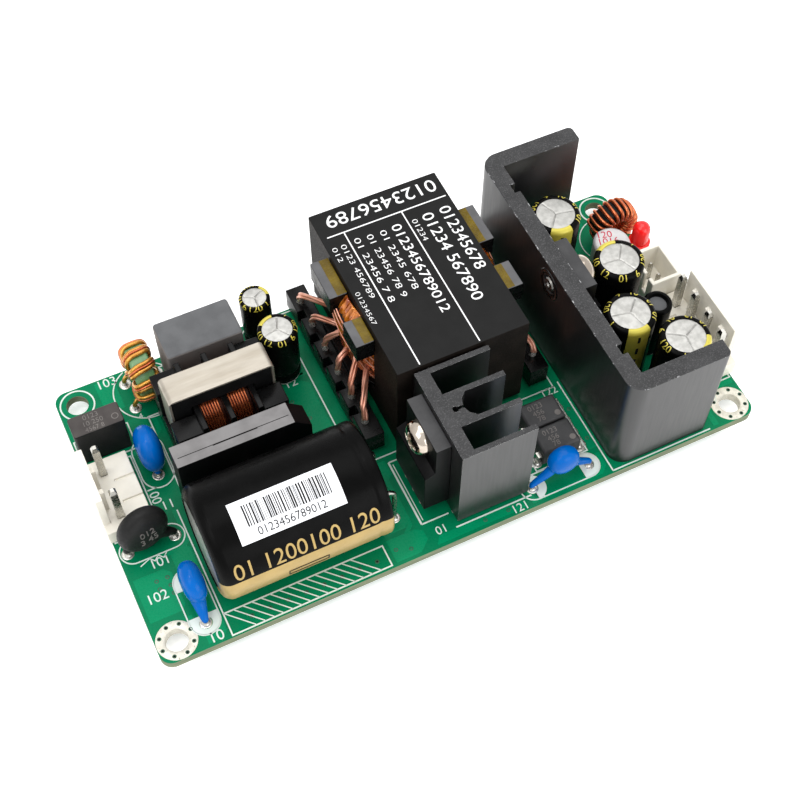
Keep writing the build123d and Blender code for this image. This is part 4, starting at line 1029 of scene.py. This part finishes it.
def make_bridge():
    """Upright bridge rectifier with a light nub and a seam along its top."""
    low, high = box_mm("bridge_rectifier")

    def nub(normals, centres):
        return centres[:, 1] < low[1] + 0.3

    # the upward faces get a lighter grey than the black epoxy: painted light on the lit top
    dress("bridge_rectifier", ("epoxy", "bridge top", "aluminium"), 1.2,
          ((1, upward), (2, nub)))
    dress_plain(("bridge_leads", "tinned metal", "tinned", 0.4))
    seam = Shape("rubber")
    top = level(0, 0, high[2])
    patch(seam, top, (low[0] + 0.6, high[0] - 3.0), (-2.3, -2.2), (-SUNK, PRINT))
    patch(seam, top, (low[0] + 6.0, low[0] + 13.0), (-2.42, -2.2), (-SUNK, PRINT))
    seam.piece("bridge_seam", "epoxy")


# ---------------------------------------------------------------- capacitors

# Finish numbers of a can's Shape
SLEEVE, METAL, RUBBER, STRIPE = range(4)
# Height of the crimp over the rubber end, and reach of the stripe to each side in degrees
CRIMP, STRIPE_REACH = 2.0, 28
# Figures round the rim of an upright can: degrees from the stripe, and text
RIM_FIGURES = ((62, "10"), (102, "12"), (150, "01"), (188, "6"), (232, "120"), (286, "1"))


def sleeve_rows(radius, length, crimp, fold, grip=0.06):
    """(radius, height) rows of a sleeved can from its rubber end to the fold round its lid, with
    the finish of each row."""
    groove = radius * grip + 0.1
    shoulder = radius * 0.2
    bend = np.radians(np.linspace(0, 84, 9))
    rim = np.column_stack([radius - shoulder * (1 - np.cos(bend)),
                           length - shoulder * (1 - np.sin(bend))])
    rows = [(0, 0.35), (radius * 0.72, 0.35), (radius * 0.74, 0.0), (radius - 0.35, 0.0),
            (radius, 0.35), (radius, crimp - 0.55), (radius - groove, crimp),
            (radius, crimp + 0.55), *rim, (fold, length - 0.02), (fold - 0.02, length - 0.2)]
    reach = [0, 0.1, 0.05, 0.3, 0.3, 0.5, 0.5, 0.5, *[0.01] * 9, 0.05, 0]
    smooth = rounded(rows, np.array(reach) + 1e-4, 3)
    radii, heights = smooth.T
    middle = (heights[1:] + heights[:-1]) / 2
    rubber = (radii[1:] < radius * 0.745) & (middle < radius)
    return smooth, np.where(rubber, RUBBER, SLEEVE)


def striped(numbers, columns, first, last):
    """Finish numbers for each row and column, with the stripe's columns between two angles."""
    grid = np.repeat(numbers[:, None], columns, 1)
    angle = (np.arange(columns) + 0.5) * 360 / columns
    inside = ((angle - first) % 360) < (last - first)
    grid[(grid == SLEEVE) & inside[None, :]] = STRIPE
    return grid


def scored_lid(shape, centre, axes, radius, height, turn, columns):
    """The vented lid: a disc that crowns a little and whose height drops along three rays from
    the middle; rows are radii and columns angles."""
    r = np.linspace(0.02, 1, 26) ** 0.9 * radius
    angle = np.linspace(0, TAU, columns, endpoint=False)
    rr, aa = np.meshgrid(r, angle, indexing="ij")
    x, y = rr * np.cos(aa), rr * np.sin(aa)
    drop = np.zeros_like(x)
    for k in range(3):
        direction = turn + k * TAU / 3
        across = -x * math.sin(direction) + y * math.cos(direction)
        ahead = x * math.cos(direction) + y * math.sin(direction)
        depth = np.exp(-(across / 0.085) ** 2) * np.clip((ahead + 0.1) / 0.2, 0, 1)
        drop = np.maximum(drop, depth * (rr < radius * 0.96))
    height = height + 0.06 * (1 - (rr / radius) ** 2) - 0.11 * drop
    points = np.stack([x, y, height], -1) @ axes + np.asarray(centre)
    shape.grid(points, METAL)
    shape.polygons(points[0], [list(range(columns))], METAL)


def over_rim(centre, radius, length, start):
    """Places (u, v, w) on a can's rounded rim: v runs from the side over the rim to the lid."""
    shoulder = radius * 0.2
    lean = math.radians(38)

    def place(u, v, w):
        bend = np.clip(v / shoulder + lean, 0, math.radians(84))
        down = np.minimum(v / shoulder + lean, 0) * shoulder
        angle = math.radians(start) + u / radius
        out = radius - shoulder + (shoulder + w) * np.cos(bend)
        height = length - shoulder + (shoulder + w) * np.sin(bend) + down
        return np.stack([out * np.cos(angle), out * np.sin(angle), height], -1) + centre
    return place


def electrolytic(name, node, turn, stripe):
    """Sleeved can with a scored lid, a stripe with minus marks and figures round its rim; turn
    is the angle of the first score in radians and stripe that of the stripe in degrees."""
    centre, radius, length = upright(node)
    columns = bpy.context.scene.board_sizes.columns
    can = Shape("sleeve", "aluminium", "rubber", "rim print")
    fold = radius * 0.77
    rows, numbers = sleeve_rows(radius, length, CRIMP, fold)
    can.lathe(rows, centre, columns=columns,
              number=striped(numbers, columns, stripe - STRIPE_REACH, stripe + STRIPE_REACH))
    scored_lid(can, centre, AXES["Z"], fold - 0.02, length - 0.2, turn, columns)
    can.piece(name, "dark_case", (node,), 40)
    ink = Shape("rim print", "black ink")
    place = barrel(centre, radius, AXES["Z"], stripe)
    lift = bpy.context.scene.board_sizes.print_lift / MM
    for foot in np.arange(CRIMP + 2.2, length - 1.4, 3.0):
        patch(ink, place, (-0.22, 0.22), (foot, foot + 1.5), (-0.01, lift), 1, (2, 1))
    for start, text in RIM_FIGURES:
        numerals(ink, text, over_rim(centre, radius, length, stripe + start), 1.75, lift, 0, 4)
    ink.piece(name + "_print", "dark_case")


def make_small_capacitors():
    """The two small cans and the four output cans."""
    electrolytic("supply_can", "supply_capacitor", 0.5, 20)
    electrolytic("gate_can", "gate_capacitor", 1.2, 115)
    for number, turn, stripe in ((1, 1.9, -102), (2, 0.95, 100), (3, 0.8, -97), (4, 0.45, -50)):
        electrolytic(f"output_can_{number}", f"output_capacitor_{number}", turn, stripe)


def make_bulk_capacitor():
    """Lying main capacitor: sleeve, gold stripe with its minus mark, figures, leads and sticker."""
    low, high = box_mm("bulk_capacitor")
    radius, length = (high[2] - low[2]) / 2, high[0] - low[0]
    # the third axis runs from the rubber end at +X to the lid at -X
    axes = np.array([[0, -1, 0], [0, 0, 1], [-1, 0, 0.0]])
    end = high[0]
    y, z = (low + high)[1:] / 2
    centre = (end, y, z)
    columns = 200
    can = Shape("sleeve", "aluminium", "rubber", "gold print")
    fold = radius * 0.8
    rows, numbers = sleeve_rows(radius, length, CRIMP, fold, 0.004)
    can.lathe(rows, centre, axes, columns, striped(numbers, columns, -52, 13))
    scored_lid(can, centre, axes, fold - 0.02, length - 0.2, 0.3, columns)
    can.piece("bulk_can", "dark_case", ("bulk_capacitor",), 40)

    # angle 0 is the near side, 90 the top, and v grows from the rubber end to the left
    place = barrel(centre, radius, axes)
    ink = Shape("gold print", "black ink")
    lift = 0.04
    bottom, top = (radius * math.radians(a) for a in (-12, -3.5))
    start, stop, wall = 10.6, 16.9, 0.14
    for foot in (start, stop - wall):
        patch(ink, place, (bottom, top), (foot, foot + wall), (0, 2 * lift), 1, (3, 1))
    for foot in (bottom, top - wall):
        patch(ink, place, (foot, foot + wall), (start, stop), (0, 2 * lift), 1)

    def stripe_place(u, v, w):
        return place(v + radius * math.radians(23.5), length / 2 - u * 0.84, w)
    numerals(ink, "01 1200100 120", stripe_place, 4.1, lift, 0, 9)
    ink.piece("bulk_print", "dark_case")

    wires = Shape("tinned metal")
    for lead_y in (y - 3.75, y + 3.75):
        # steps out from the can's end, and heights
        bends = ((-0.2, z), (0.9, z), (1.9, z - 0.7), (2.2, z - 1.9), (2.2, 5.0), (2.2, BOARD_TOP))
        path = smooth_path([(end + out, lead_y, height) for out, height in bends], 8)
        wires.wire(path, 0.38, (0, 1, 0), 16)
    wires.piece("bulk_lead_wires", "tinned", ("bulk_leads",))
    make_sticker(place, radius, end)


def make_sticker(place, radius, end):
    """The main capacitor's sticker: paper, a bar code of random widths and its figures."""
    low, high = box_mm("bulk_label")
    paper = Shape("sticker paper", "black ink")
    first, last = (radius * math.radians(a) for a in (48, 88))
    near, far = end - high[0], end - low[0]
    thickness = 0.12
    patch(paper, place, (first, last), (near, far), (-SUNK, thickness), 0, (24, 1))
    random = np.random.default_rng(7)
    position = far - 1.8
    while position > near + 1.5:
        width = random.choice((0.06, 0.1, 0.16, 0.24))
        patch(paper, place, (first + 2.2, last - 0.9), (position - width, position),
              (thickness - 0.02, thickness + 0.02), 1, (12, 1))
        position -= width + random.choice((0.1, 0.16, 0.26))

    def caption(u, v, w):
        return place(v + first + 1.1, (near + far) / 2 - u * 0.95, w + thickness)
    numerals(paper, "0123456789012", caption, 1.7, PRINT, 1, 2)
    paper.piece("bulk_sticker", "white_paper", ("bulk_label",))


def make_round_parts():
    """Polymer can, rod inductor and indicator."""
    centre, radius, length = upright("polymer_capacitor")
    can = Shape("can white", "rubber")
    rows, numbers = sleeve_rows(radius, length, 1.6, radius * 0.8)
    can.lathe(rows[:-1], centre, columns=96, number=np.where(numbers[:-1] == RUBBER, 1, 0))
    can.polygons(turned([(radius * 0.8, length)], centre, AXES["Z"], 96)[0], [list(range(96))])
    can.piece("polymer_can", "tinned", ("polymer_capacitor",), 30)
    ink = Shape("red ink")
    for text, y in (("120", 1.75), ("1016", 0.25), ("0412", -1.25)):
        place = flat(centre + (-0.6, y, length), (0.96, -0.28, 0), (0.28, 0.96, 0))
        numerals(ink, text, place, 1.9, 0.03)
    ink.piece("polymer_print", "tinned")

    centre, radius, length = upright("rod_inductor")
    rod = Shape("sleeve", "grey fill")
    rows = rounded([(0, 0), (radius - 0.3, 0), (radius, 0.5), (radius, length - 0.4),
                    (radius - 0.3, length), (radius - 0.75, length),
                    (radius - 0.85, length - 0.9), (0, length - 0.9)], 0.2, 3)
    core = (rows[:-1, 0] < radius - 0.84) & (rows[1:, 1] > 1)
    rod.lathe(rows, centre, number=core.astype(int))
    rod.piece("rod_coil", "dark_case", ("rod_inductor",), 40)

    centre, _, length = upright("indicator_led")
    lens = Shape("red lens")
    dome = [(1.5 * math.cos(a), length - 1.5 + 1.5 * math.sin(a))
            for a in np.linspace(0, math.pi / 2, 14)]
    lens.lathe([(0, 0), (1.8, 0), (1.9, 0.08), (1.9, 0.92), (1.8, 1.0), (1.52, 1.02), (1.5, 1.2),
                *dome], centre, columns=56)
    lens.piece("indicator_lens", "red_lens", ("indicator_led",), 40)
    legs = Shape("tinned metal")
    for x, y in PADS[-2:]:
        straight_lead(legs, x, y, 0.26, 3.1, 12)
    legs.piece("indicator_legs", "tinned", ("led_leads",))


# ---------------------------------------------------------------- transformer

# Distance between two lead wires along a rail
RAIL_PITCH = 5.08
# Copper strands that show in the tape: first and last angle, upper and lower end
TAPE_STRANDS = ((160, 232, 18.8, 9.2), (150, 226, 17.2, 7.6), (178, 244, 18.9, 8.9),
                (20, -52, 18.6, 9.0), (12, -58, 17.4, 8.2))
# The label's cross line lies at this share of its length
CROSS_LINE = 0.84
# Figures on it: text, start and end from the cross line, middle from the right, size
LABEL_FIGURES = (
    ("012345678", 1.8, 15.1, 1.95, 2.7), ("01234 567890", 1.9, 20.2, 5.0, 2.7),
    ("01234", 2.2, 6.7, 7.25, 1.3), ("0123456789012", 1.9, 20.1, 10.4, 2.3),
    ("01 2345 678", 2.1, 14.4, 12.7, 1.5), ("01 23456 78 9", 2.0, 15.0, 14.9, 1.5),
    ("01 23456 7 8", 1.8, 15.1, 17.0, 1.5), ("0123 456789", 2.1, 13.2, 19.4, 1.3),
    ("012", 2.1, 5.0, 20.9, 1.2), ("01234567", 11.3, 17.8, 21.2, 1.1))


def make_transformer():
    """Core, printed label, bobbin with tape on its towers, winding, tape, pins and lead wires."""
    low, high = box_mm("transformer_bobbin")

    def below(normals, centres):
        return normals[:, 2] < 0.5

    def tower(normals, centres):
        return upward(normals, centres) & (centres[:, 2] > high[2] - 0.1)

    dress_plain(("transformer_core", "transformer core", "ferrite", 1.2))
    dress("transformer_label", ("label film", "transformer core"), 1.6,
          ((1, below),))
    # the towers' top faces get a lighter grey than the black bobbin: painted light
    dress("transformer_bobbin", ("black plastic", "lit tower top"), 1.2, ((1, tower),))
    x, y = (low + high)[:2] / 2
    ends = Shape("tape end")
    for side in (-1, 1):
        for middle, reach in ((4.95, 3.6), (-6.1, 2.35)):
            patch(ends, level(0, 0, high[2]), sorted((x + side * 11.15, x + side * 12.7)),
                  (y + middle - reach, y + middle + reach), (-SUNK, 0.05))
    ends.piece("tower_tape", "copper_wire")
    dress_plain(("transformer_pins", "tinned metal", "tinned", 0.4))
    make_winding()
    make_label_print()


def make_winding():
    """Copper turns whose radius ripples, the tape over them and the lead wires."""
    foot, radius, length = upright("transformer_winding")
    copper = Shape("copper enamel")
    turns = 22
    pitch = length / turns
    t = np.linspace(0, 1, turns * 8 + 1)
    swell = np.sqrt(1 - (2 * ((t * turns) % 1) - 1) ** 2 * 0.98)
    ripple = radius - 0.02 - pitch / 2 + pitch / 2 * swell
    profile = np.vstack([[(radius - 2, 0)], np.column_stack([ripple, t * length]),
                         [(radius - 2, length)], [(radius - 2, 0)]])
    copper.lathe(profile, foot, columns=160)
    copper.piece("transformer_coil", "copper_wire", ("transformer_winding",), 40)

    # tape over the upper half, lapped over the bobbin's flange up to the label's edge
    tape = Shape("amber tape", "litz copper")
    angle = np.linspace(0, TAU, 480, endpoint=False)
    fold = 0.12 * np.sin(angle * 47) + 0.1 * np.sin(angle * 83 + 1)
    edge = 0.5 * np.sin(angle * 5 + 0.4) + 0.3 * np.sin(angle * 11)
    outline = rounded([(12.5, 11.4), (13.0, 11.6), (13.15, 16.4), (12.7, 18.6), (11.5, 20.3),
                       (11.2, 20.3), (11.2, 19.0), (12.3, 12.0), (12.5, 11.4)], 0.5, 4)
    reach = outline[:, :1] + fold * (outline[:, :1] > 11.4)
    height = outline[:, 1:] + edge * (outline[:, 1:] < 12.5)
    x, y, bottom = foot
    tape.grid(np.stack([x + reach * np.cos(angle), y + reach * np.sin(angle), height], -1))
    for first, last, upper, lower in TAPE_STRANDS:
        t = np.linspace(0, 1, 40)
        angle = np.radians(first + (last - first) * t)
        reach = 13.4 + 0.1 * np.sin(t * 7)
        strand = np.stack([x + reach * np.cos(angle), y + reach * np.sin(angle),
                           upper + (lower - upper) * t ** 1.3], -1)
        tape.wire(strand, 0.11, (0, 0, 1), 8, 1)
    tape.piece("winding_tape", "copper_wire", sharp=50)
    make_lead_wires(x, y, radius, bottom, length)


def make_label_print():
    """Lines and figures on the transformer's label."""
    low, high = box_mm("transformer_label")
    right, near, height = high[0], low[1], high[2]
    # u runs away from the near end, v to the left, as the print does
    top = flat((right, near, height), (0, 1, 0), (-1, 0, 0))
    cross = (high[1] - near) * CROSS_LINE
    ink = Shape("label ink")
    for u, v, size_u, size_v in ((cross, 0.5, 0.22, right - low[0] - 1.5),
                                 (0.3, 8.2, cross - 0.3, 0.2), (0.3, 18.1, cross - 0.3, 0.2)):
        patch(ink, top, (u, u + size_u), (v, v + size_v), (-0.01, PRINT))
    for text, start, stop, across, size in LABEL_FIGURES:
        place = flat((right - across, near + cross - (start + stop) / 2, height), (0, -1, 0),
                     (1, 0, 0))
        numerals(ink, text, place, size, PRINT, weight=0.0 if size > 2 else -0.015,
                 span=stop - start)
    place = flat((right - 10.5, high[1] - 2.2, height), (-1, 0, 0), (0, -1, 0))
    numerals(ink, "0123456789", place, 3.5, PRINT, span=18.9)
    ink.piece("transformer_print", "black_label")


def make_lead_wires(x, y, radius, bottom, length):
    """Twelve leads of three strands: each strand winds once round a smooth path from the coil
    to its block, and its last part is tinned."""
    wires = Shape("litz copper", "solder")
    collar = [(0, 0), (0.62, 0), (0.6, 0.25), (0.5, 0.6), (0.44, 0.9), (0, 0.9)]
    for side in (-1, 1):
        for k in range(6):
            step = (k - 2.5) * RAIL_PITCH
            start_y = np.clip(step * 0.45, -5.2, 5.2)
            start_x = math.sqrt((radius + 0.1) ** 2 - start_y ** 2)
            foot = np.array([x + side * 14.85, y + step, 0])
            height = bottom + length * (0.3 + 0.06 * math.sin(3.1 * k + side))
            path = smooth_path([(x + side * (start_x - 0.7), y + start_y, height),
                                (x + side * (start_x + 0.35), y + start_y + 0.12 * step,
                                 height + 0.25),
                                foot + (-side * 0.5, -0.12 * step, bottom + 2.1),
                                foot + (0, 0, bottom + 0.6), foot + (0, 0, 6.45)], 9)
            t = np.linspace(0, 1, len(path))
            tangent = np.gradient(path, axis=0)
            tangent /= np.linalg.norm(tangent, axis=1, keepdims=True)
            across = np.cross(tangent, (0, 1, 0.2))
            across /= np.linalg.norm(across, axis=1, keepdims=True)
            over = np.cross(tangent, across)
            for number in range(3):
                turn = TAU * (number / 3 + 0.6 * t)[:, None]
                strand = path + 0.27 * (np.cos(turn) * across + np.sin(turn) * over)
                strand[:, 2] = np.maximum(strand[:, 2], 6.3)
                wires.wire(strand, 0.29, (0, 1, 0.2), 9, np.where(strand[:-1, 2] < 7.4, 1, 0))
            wires.lathe(collar, (foot[0], foot[1], 6.38), columns=16, number=1)
    wires.piece("transformer_leads", "copper_wire", ("transformer_lead_wires",), 60)


# ---------------------------------------------------------------- heatsinks

SCREW_HEAD_RADIUS, SCREW_HEAD_HEIGHT, SHANK_RADIUS = 2.8, 1.9, 1.5


def screw_head(shape, centre, normal):
    """A pan head with a cross recess: the dome's height drops in two crossed bars that narrow
    towards the rim; rows are radii and columns angles."""
    radius, height = SCREW_HEAD_RADIUS, SCREW_HEAD_HEIGHT
    axes = facing(normal, (0.25, 0.2, 1))
    r = np.concatenate([np.linspace(0.01, 0.9, 34),
                        np.sin(np.linspace(0.02, 1, 9) * math.pi / 2) * 0.1 + 0.9])
    angle = np.linspace(0, TAU, 96, endpoint=False)
    rr, aa = np.meshgrid(r * radius, angle, indexing="ij")
    x, y = rr * np.cos(aa), rr * np.sin(aa)
    share = np.clip(rr / radius, 0, 1)
    dome = height * (1 - share ** 4) ** 0.5
    bars = np.minimum(abs(x), abs(y)) < radius * (0.17 - 0.08 * share)
    depth = np.where(bars & (share < 0.62), height * 0.6 * (1 - share / 0.75), 0)
    points = np.stack([x, y, dome - depth], -1) @ axes + np.asarray(centre)
    shape.grid(points)
    shape.polygons(points[0], [list(range(96))])
    shape.lathe([(radius, 0), (0, 0)], centre, axes, 96)


def threaded(radius, length, pitch=0.5):
    """(radius, height) rows of a screw's shank with ridges for its thread."""
    t = np.linspace(0, 1, int(length / pitch) * 6 + 1)
    return np.column_stack([radius - 0.16 * abs(((t * length / pitch) % 1) * 2 - 1), t * length])


def make_screw(name, node, direction):
    """Pan-head screw along X with a threaded shank; the head looks in the direction."""
    low, high = box_mm(node)
    _, y, z = (low + high) / 2
    seat_x = (high if direction > 0 else low)[0] - direction * SCREW_HEAD_HEIGHT
    screw = Shape("chrome", "screw tip")
    screw_head(screw, (seat_x, y, z), (direction, 0, 0))
    length = high[0] - low[0] - SCREW_HEAD_HEIGHT
    rows = np.vstack([[(0, 0)], threaded(SHANK_RADIUS, length - 0.5),
                      [(1.1, length), (0.45, length), (0.3, length - 0.35), (0, length - 0.4)]])
    screw.lathe(rows, (seat_x, y, z), facing((-direction, 0, 0)), 40, 1)
    screw.piece(name, "screw_steel", (node,), 30)


def make_primary_heatsink():
    """Finned extrusion with the power transistor, its leads and screw."""
    # finish 2 goes on the rounded edges: bare edge metal with painted glints
    dress("primary_heatsink", ("anodised", "cut anodised", "bright edge metal and glints"), 1.0,
          ((1, upward),), 2)
    dress_plain(("primary_heatsink_pins", "tinned metal", "tinned", 0.4))
    # the upward faces get a lighter grey than the black epoxy: painted light on the lit top
    dress("power_transistor", ("epoxy", "grey epoxy and lit top"), 1.0, ((1, upward),))
    dress_plain(("transistor_leads", "tinned metal", "tinned", 0.4))
    make_screw("transistor_fixing", "transistor_screw", -1)


def make_secondary_heatsink():
    """Channel-shaped heatsink with the output rectifier inside it and a ring at the screw."""
    # finish 2 goes on the rounded edges: bare edge metal with painted glints
    dress("secondary_heatsink", ("anodised", "cut anodised", "edge metal and glints"), 0.9,
          ((1, upward),), 2)
    # the upward faces get a lighter grey than the black epoxy: painted light on the lit top
    dress("output_rectifier", ("epoxy", "grey epoxy and lit top"), 1.0, ((1, upward),))
    dress_plain(("rectifier_leads", "tinned metal", "tinned", 0.4))
    make_screw("rectifier_fixing", "rectifier_screw", 1)
    low, high = box_mm("rectifier_screw")
    _, y, z = (low + high) / 2
    face_x = box_mm("secondary_heatsink")[0][0]
    ring = Shape("black ring")
    ring.lathe(rounded([(1.62, 0.02), (2.0, -0.02), (2.15, -0.14), (2.6, -0.14), (2.8, 0.02),
                        (1.62, 0.02)], 0.06), (face_x, y, z), AXES["X"], 56)
    ring.piece("screw_hole_ring", "anodised")


# ---------------------------------------------------------------- small parts

def make_optocouplers():
    """Two optocouplers with faint marks and a corner dot."""
    ink = Shape("faint ink")
    for node in ("optocoupler_1", "optocoupler_2"):
        dress_plain((node, "grey epoxy and lit top", "epoxy", 1.2))
        low, high = box_mm(node)
        x, y = (low + high)[:2] / 2
        rows_of_figures(ink, (("0123", 1.0, 1.3), ("456", -0.2, 1.3), ("78", -1.3, 1.3)),
                        level(x - 0.6, y, high[2]))
        ink.lathe([(0, -SUNK), (0.5, -SUNK), (0.5, PRINT), (0, PRINT)],
                  (high[0] - 1.0, low[1] + 1.0, high[2]), columns=24)
    ink.piece("optocoupler_ink", "epoxy")
    dress_plain(("optocoupler_leads", "tinned metal", "tinned", 0.4))


def make_output_choke():
    """Black ring with a fan of copper turns and its two leads."""
    centre = np.array((46.5, 15.5, 6.5))
    x, y = centre[:2]
    # inner and outer radius and width of the core, and radius of the wire
    section, radius = (1.9, 3.8, 3.2), 0.31
    ring_core("output_choke_ring", "output_choke_core", centre, AXES["Y"], *section,
              "black ferrite", "ferrite")
    wires = Shape("copper enamel", "solder")
    path, along = wound(centre, AXES["Y"], *section, radius, 245, -85, 19, 1.2)
    wires.wire(path, radius, along, 10)
    for pad_x, pad_y, side in ((48.1, 18.2, 1), (44.9, 12.8, -1)):
        start_x = x + side * 1.2
        lead = smooth_path([(start_x, y + side * 1.7, 4.4),
                            (pad_x * 0.7 + start_x * 0.3, pad_y - side * 0.25, 3.5),
                            (pad_x, pad_y, 2.6), (pad_x, pad_y, 1.62)], 8)
        wires.wire(lead, radius, (1, 0.1, 0.05), 10, np.where(lead[:-1, 2] < 2.4, 1, 0))
    wires.piece("output_choke_turns", "copper_wire", ("output_choke_winding",), 50)


def make_underside_parts():
    """Controller and chip parts under the board."""
    dress_plain(("controller_chip", "epoxy", "epoxy", 0.8),
                ("chip_parts", "grey epoxy and lit top", "epoxy", 0.6))


# ---------------------------------------------------------------- stage

def white_rays(nodes, links):
    """1 for camera, glossy and transmission rays, else 0."""
    path = nodes.new("ShaderNodeLightPath")
    value = path.outputs["Is Camera Ray"]
    for other in ("Is Glossy Ray", "Is Transmission Ray"):
        node = nodes.new("ShaderNodeMath")
        node.operation = "MAXIMUM"
        links.new(value, node.inputs[0])
        links.new(path.outputs[other], node.inputs[1])
        value = node.outputs[0]
    return value


def split_rays(tree, usual, seen, output):
    """Sends one shader to the rays that are seen and the other to the rest."""
    nodes, links = tree.nodes, tree.links
    mix = nodes.new("ShaderNodeMixShader")
    links.new(white_rays(nodes, links), mix.inputs["Fac"])
    links.new(usual, mix.inputs[1])
    links.new(seen, mix.inputs[2])
    links.new(mix.outputs["Shader"], nodes[output].inputs["Surface"])


def make_floor(colour):
    """A pale floor under the solder joints, which glows a little where it is seen."""
    half, drop = 3.0, -0.0018
    mesh = bpy.data.meshes.new("floor")
    mesh.from_pydata([(-half, -half, drop), (half, -half, drop), (half, half, drop),
                      (-half, half, drop)], [], [(0, 1, 2, 3)])
    floor = bpy.data.objects.new("floor", mesh)
    bpy.context.scene.collection.objects.link(floor)
    material = bpy.data.materials.new("floor")
    material.use_nodes = True
    nodes, links = material.node_tree.nodes, material.node_tree.links
    shader = nodes["Principled BSDF"]
    shader.inputs["Base Color"].default_value = (*colour, 1)
    shader.inputs["Roughness"].default_value = 0.9
    shader.inputs["Specular IOR Level"].default_value = 0.1
    glow = nodes.new("ShaderNodeEmission")
    glow.inputs["Strength"].default_value = 0.35
    total = nodes.new("ShaderNodeAddShader")
    links.new(shader.outputs["BSDF"], total.inputs[0])
    links.new(glow.outputs["Emission"], total.inputs[1])
    split_rays(material.node_tree, shader.outputs["BSDF"], total.outputs["Shader"],
               "Material Output")
    mesh.materials.append(material)


def make_stage():
    """Pale floor, white surroundings, three soft lights, a small one and the camera."""
    settings = bpy.context.scene.stage_settings
    scene = bpy.context.scene
    scene.view_settings.view_transform = "Standard"
    make_floor(settings.floor)

    world = bpy.data.worlds.new("studio")
    scene.world = world
    world.use_nodes = True
    nodes = world.node_tree.nodes
    ambient, white = nodes["Background"], nodes.new("ShaderNodeBackground")
    for node, strength in ((ambient, settings.sky), (white, 1.0)):
        node.inputs["Color"].default_value = (1, 1, 1, 1)
        node.inputs["Strength"].default_value = strength
    split_rays(world.node_tree, ambient.outputs["Background"], white.outputs["Background"],
               "World Output")

    for name, power, place, size in (("key", settings.key, (-0.42, -0.12, 0.62), 0.45),
                                     ("top", settings.top, (0.12, 0.18, 0.75), 0.6),
                                     ("front", settings.front, (0.22, -0.72, 0.3), 0.5),
                                     ("glint", settings.glint, (-0.17, 0.04, 0.6), 0.07)):
        lamp = bpy.data.lights.new(name, "AREA")
        lamp.energy, lamp.size = power, size
        holder = bpy.data.objects.new(name, lamp)
        scene.collection.objects.link(holder)
        holder.location = place
        holder.rotation_euler = (-Vector(place)).to_track_quat("-Z", "Y").to_euler()

    camera = bpy.data.cameras.new("camera")
    camera.sensor_fit, camera.sensor_width, camera.lens = "HORIZONTAL", 36, 63.003
    camera.shift_x, camera.shift_y, camera.clip_start = -0.0526, 0.02875, 0.01
    holder = bpy.data.objects.new("camera", camera)
    scene.collection.objects.link(holder)
    right = Vector((0.8961852, -0.4427181, 0.0292043))
    up = Vector((0.3658510, 0.7746148, 0.5158730))
    back = Vector((-0.2510084, -0.4516333, 0.8561672))
    turn = Matrix((right, up, back)).transposed().to_4x4()
    holder.matrix_world = Matrix.Translation((-0.05259829, -0.10690051, 0.19359228)) @ turn
    scene.camera = holder


# ---------------------------------------------------------------- operators and panel

def operator(make):
    """An operator class that makes one piece or group, named after its function."""
    def execute(self, context):
        make()
        return {"FINISHED"}
    name = make.__name__.removeprefix("make_")
    return type("SUPPLY_OT_" + name, (bpy.types.Operator,),
                {"bl_idname": "supply." + name, "bl_label": name.replace("_", " ").capitalize(),
                 "__doc__": make.__doc__, "bl_options": {"REGISTER", "UNDO"},
                 "execute": execute})


OPERATORS = [operator(make) for make in (
    make_board, make_fuse, make_headers, make_discs, make_line_choke, make_x_capacitor,
    make_common_mode_choke, make_bridge, make_bulk_capacitor, make_small_capacitors,
    make_round_parts, make_transformer, make_primary_heatsink, make_secondary_heatsink,
    make_optocouplers, make_output_choke, make_underside_parts, make_stage)]


class SUPPLY_PT_panel(bpy.types.Panel):
    """Lists the settings and the operators."""
    bl_label = "Power Supply Board"
    bl_idname = "SUPPLY_PT_panel"
    bl_space_type = "VIEW_3D"
    bl_region_type = "UI"
    bl_category = "Power Supply"

    def draw(self, context):
        for name, group in (("board_colours", BoardColours), ("board_sizes", BoardSizes),
                            ("stage_settings", StageSettings)):
            box = self.layout.box()
            for key in group.__annotations__:
                box.prop(getattr(context.scene, name), key)
        for item in OPERATORS:
            self.layout.operator(item.bl_idname)


CLASSES = [BoardColours, BoardSizes, StageSettings, *OPERATORS, SUPPLY_PT_panel]


def register():
    for item in CLASSES:
        bpy.utils.register_class(item)
    bpy.types.Scene.board_colours = PointerProperty(type=BoardColours)
    bpy.types.Scene.board_sizes = PointerProperty(type=BoardSizes)
    bpy.types.Scene.stage_settings = PointerProperty(type=StageSettings)


def unregister():
    for name in ("board_colours", "board_sizes", "stage_settings"):
        delattr(bpy.types.Scene, name)
    for item in reversed(CLASSES):
        bpy.utils.unregister_class(item)


def main():
    """Makes every piece in order and writes the two boxes."""
    register()
    for item in OPERATORS:
        group, name = item.bl_idname.split(".")
        getattr(getattr(bpy.ops, group), name)()


if __name__ == "__main__":
    main()
